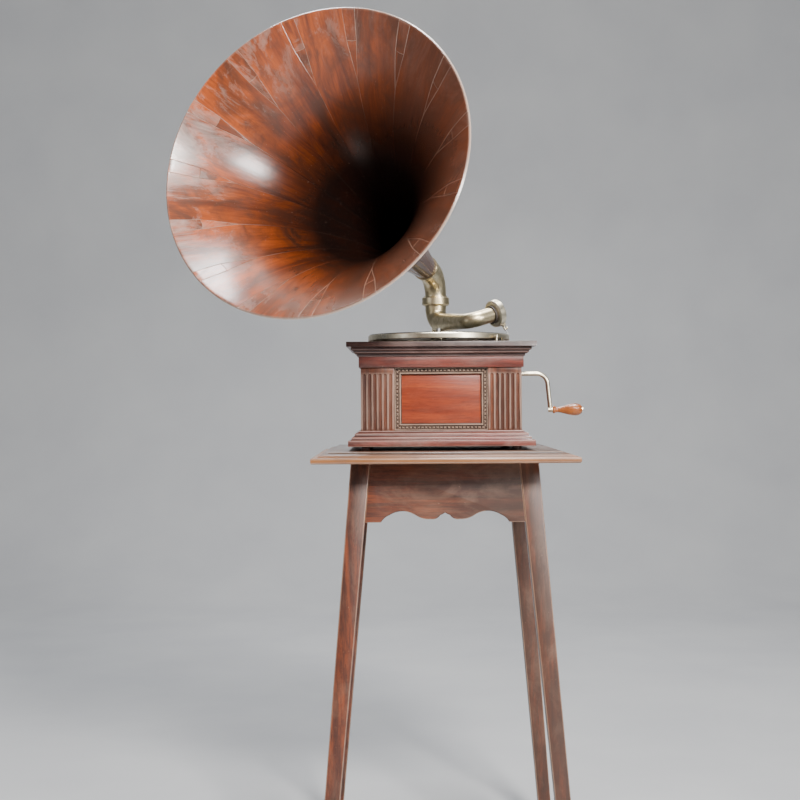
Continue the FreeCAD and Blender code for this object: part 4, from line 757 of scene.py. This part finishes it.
def lozenge(bm, centre, long_way, wide_way, out_way):
    """A small carved bead: a flattened ball with pointed ends."""
    rows = []
    for ring in range(BEAD_RINGS + 1):
        share = -1.0 + 2.0 * ring / BEAD_RINGS
        girth = max(0.0, 1.0 - abs(share) ** 1.7) ** 0.7
        row = []
        count = 1 if ring in (0, BEAD_RINGS) else BEAD_SIDES
        for side in range(count):
            angle = 2.0 * math.pi * side / BEAD_SIDES
            row.append(bm.verts.new(centre + long_way * (share * BEAD_SIZE[0])
                                    + wide_way * (girth * BEAD_SIZE[1] * math.cos(angle))
                                    + out_way * (girth * BEAD_SIZE[2] * math.sin(angle))))
        rows.append(row)
    for low, high in zip(rows, rows[1:]):
        for side in range(BEAD_SIDES):
            following = (side + 1) % BEAD_SIDES
            if len(low) == 1:
                bm.faces.new((low[0], high[following], high[side]))
            elif len(high) == 1:
                bm.faces.new((low[side], low[following], high[0]))
            else:
                bm.faces.new((low[side], low[following], high[following], high[side]))


def mitred_strip(bm, corners, outline):
    """A frame of one profile round four corners: outline is (inset, rise) pairs."""
    loops = []
    for inset, rise in outline:
        loops.append([bm.verts.new(corner(inset, rise)) for corner in corners])
    count = len(outline)
    for index in range(count):
        low, high = loops[index], loops[(index + 1) % count]
        for side in range(4):
            following = (side + 1) % 4
            bm.faces.new((low[side], low[following], high[following], high[side]))


def panel_frame(turn):
    """One carved frame on the front face, then turned about the upright axis."""
    bm = bmesh.new()

    def corner_maker(side_x, side_z):
        def corner(inset, rise):
            x = side_x * (FRAME_OUTER - inset)
            z = FRAME_HIGH - inset if side_z > 0 else FRAME_LOW + inset
            return Vector((x, -(PANEL_FACE + rise), z))
        return corner

    corners = [corner_maker(-1, -1), corner_maker(1, -1), corner_maker(1, 1), corner_maker(-1, 1)]
    mitred_strip(bm, corners, FRAME_PROFILE)
    out_way = Vector((0, -1, 0))
    middles = [corner(CARVING_INSET, CARVING_RISE) for corner in corners]
    runs = zip(middles, middles[1:] + middles[:1])
    for start, end in runs:
        way = (end - start).normalized()
        side = way.cross(out_way)
        count = int(round((end - start).length / CARVING_PITCH))
        for index in range(count):
            centre = start.lerp(end, (index + 0.5) / count)
            for lean in (-CARVING_LEAN, CARVING_LEAN):
                tilted = way * math.cos(lean) + side * math.sin(lean)
                lozenge(bm, centre, tilted, tilted.cross(out_way), out_way)
    bmesh.ops.recalc_face_normals(bm, faces=bm.faces)
    write_grain(bm)
    edge = bm.verts.layers.float.new("edge")
    for vert in bm.verts:
        rise = -vert.co.y - PANEL_FACE
        vert[edge] = min(1.0, max(0.0, (rise - RUBBED_FROM) / RUBBED_DEPTH))
    placing = Matrix.Translation(HOME) @ Matrix.Rotation(turn, 4, "Z")
    bmesh.ops.transform(bm, matrix=placing, verts=bm.verts)
    mesh = bpy.data.meshes.new("panel_frame")
    bm.to_mesh(mesh)
    bm.free()
    return mesh


def make_panel_frames(look):
    names = ("front", "crank_side", "back", "plain_side")
    for index, side in enumerate(names):
        mesh = panel_frame(index * math.pi / 2)
        finish_piece("carved_frame_" + side, mesh, "machine", look,
                     ("panel_frames",) if index == 0 else (), 35.0)


# ---------------------------------------------------------------- assembly


def dress_nodes(looks):
    """Gives every carried-over CAD node the finish of its own material slot."""
    inner = ("bottom_board", "stand_corner_blocks")
    for name, item in NODES.items():
        slot = "inner_wood" if name in inner else item.data.materials[0].name.split(".")[0]
        for index in range(len(item.material_slots)):
            item.material_slots[index].material = looks[slot]


STAGE_FRONT, STAGE_BACK, STAGE_SIDE = -6.5, 4.2, 7.0
STAGE_BEND, STAGE_TOP, STAGE_DROP = 1.2, 4.5, 0.0005
STAGE_STEPS = 12


def make_stage():
    """A pale sweep of paper under and behind the object, just below the floor's level."""
    look = Finish("stage_paper")
    place = look.place()
    soft = look.noise(place, 3.0, 4.0, 0.5)
    fine = look.noise(place, 260.0, 3.0, 0.6)
    colour = look.ramp(soft, (0.3, (0.60, 0.61, 0.63)), (0.7, (0.66, 0.67, 0.68)))
    look.finish(colour, look.ramp(fine, (0.3, 0.75), (0.7, 0.9)), look.bump(fine, 0.05, 0.0005))
    profile = [(STAGE_FRONT, 0.0)]
    for index in range(STAGE_STEPS + 1):
        angle = math.radians(90.0 * index / STAGE_STEPS)
        profile.append((STAGE_BACK - STAGE_BEND + STAGE_BEND * math.sin(angle),
                        STAGE_BEND - STAGE_BEND * math.cos(angle)))
    profile.append((STAGE_BACK, STAGE_TOP))
    points = [(side * STAGE_SIDE, y, z - STAGE_DROP) for y, z in profile for side in (-1, 1)]
    faces = [(2 * i, 2 * i + 1, 2 * i + 3, 2 * i + 2) for i in range(len(profile) - 1)]
    mesh = bpy.data.meshes.new("stage_sweep")
    mesh.from_pydata(points, [], faces)
    mesh.materials.append(look.material)
    mesh.shade_smooth()
    item = bpy.data.objects.new("stage_sweep", mesh)
    bpy.context.scene.collection.objects.link(item)


add_camera()
add_world()
for light in LIGHTS:
    add_area(*light)
make_stage()
looks = make_looks()
dress_nodes(looks)
make_horn(looks["horn_wood"])
make_panel_frames(looks["carved_wood"])
WOODEN = (("stand_top", 0.0016, "stand_wood", "stand_top_wood", None),
          ("stand_legs", 0.0016, "stand_wood", "stand_wood", 2),
          ("stand_aprons", 0.0012, "stand_wood", "stand_wood", None),
          ("case_feet", 0.0005, "case_wood", "case_wood", None),
          ("base_moulding", 0.0007, "case_wood", "base_wood", None),
          ("corner_posts", 0.0003, "case_wood", "pilaster_wood", 2),
          ("case_panels", 0.0005, "panel_wood", "panel_wood", None),
          ("crank_side_panel", 0.0005, "panel_wood", "panel_wood", 1),
          ("frieze_rails", 0.0008, "case_wood", "frieze_wood", None),
          ("cornice_moulding", 0.0006, "case_wood", "slab_wood", None),
          ("top_board", 0.0009, "case_wood", "slab_wood", 0))
for node, width, slot, look, axis in WOODEN:
    softened(node, width, looks[look], axis)
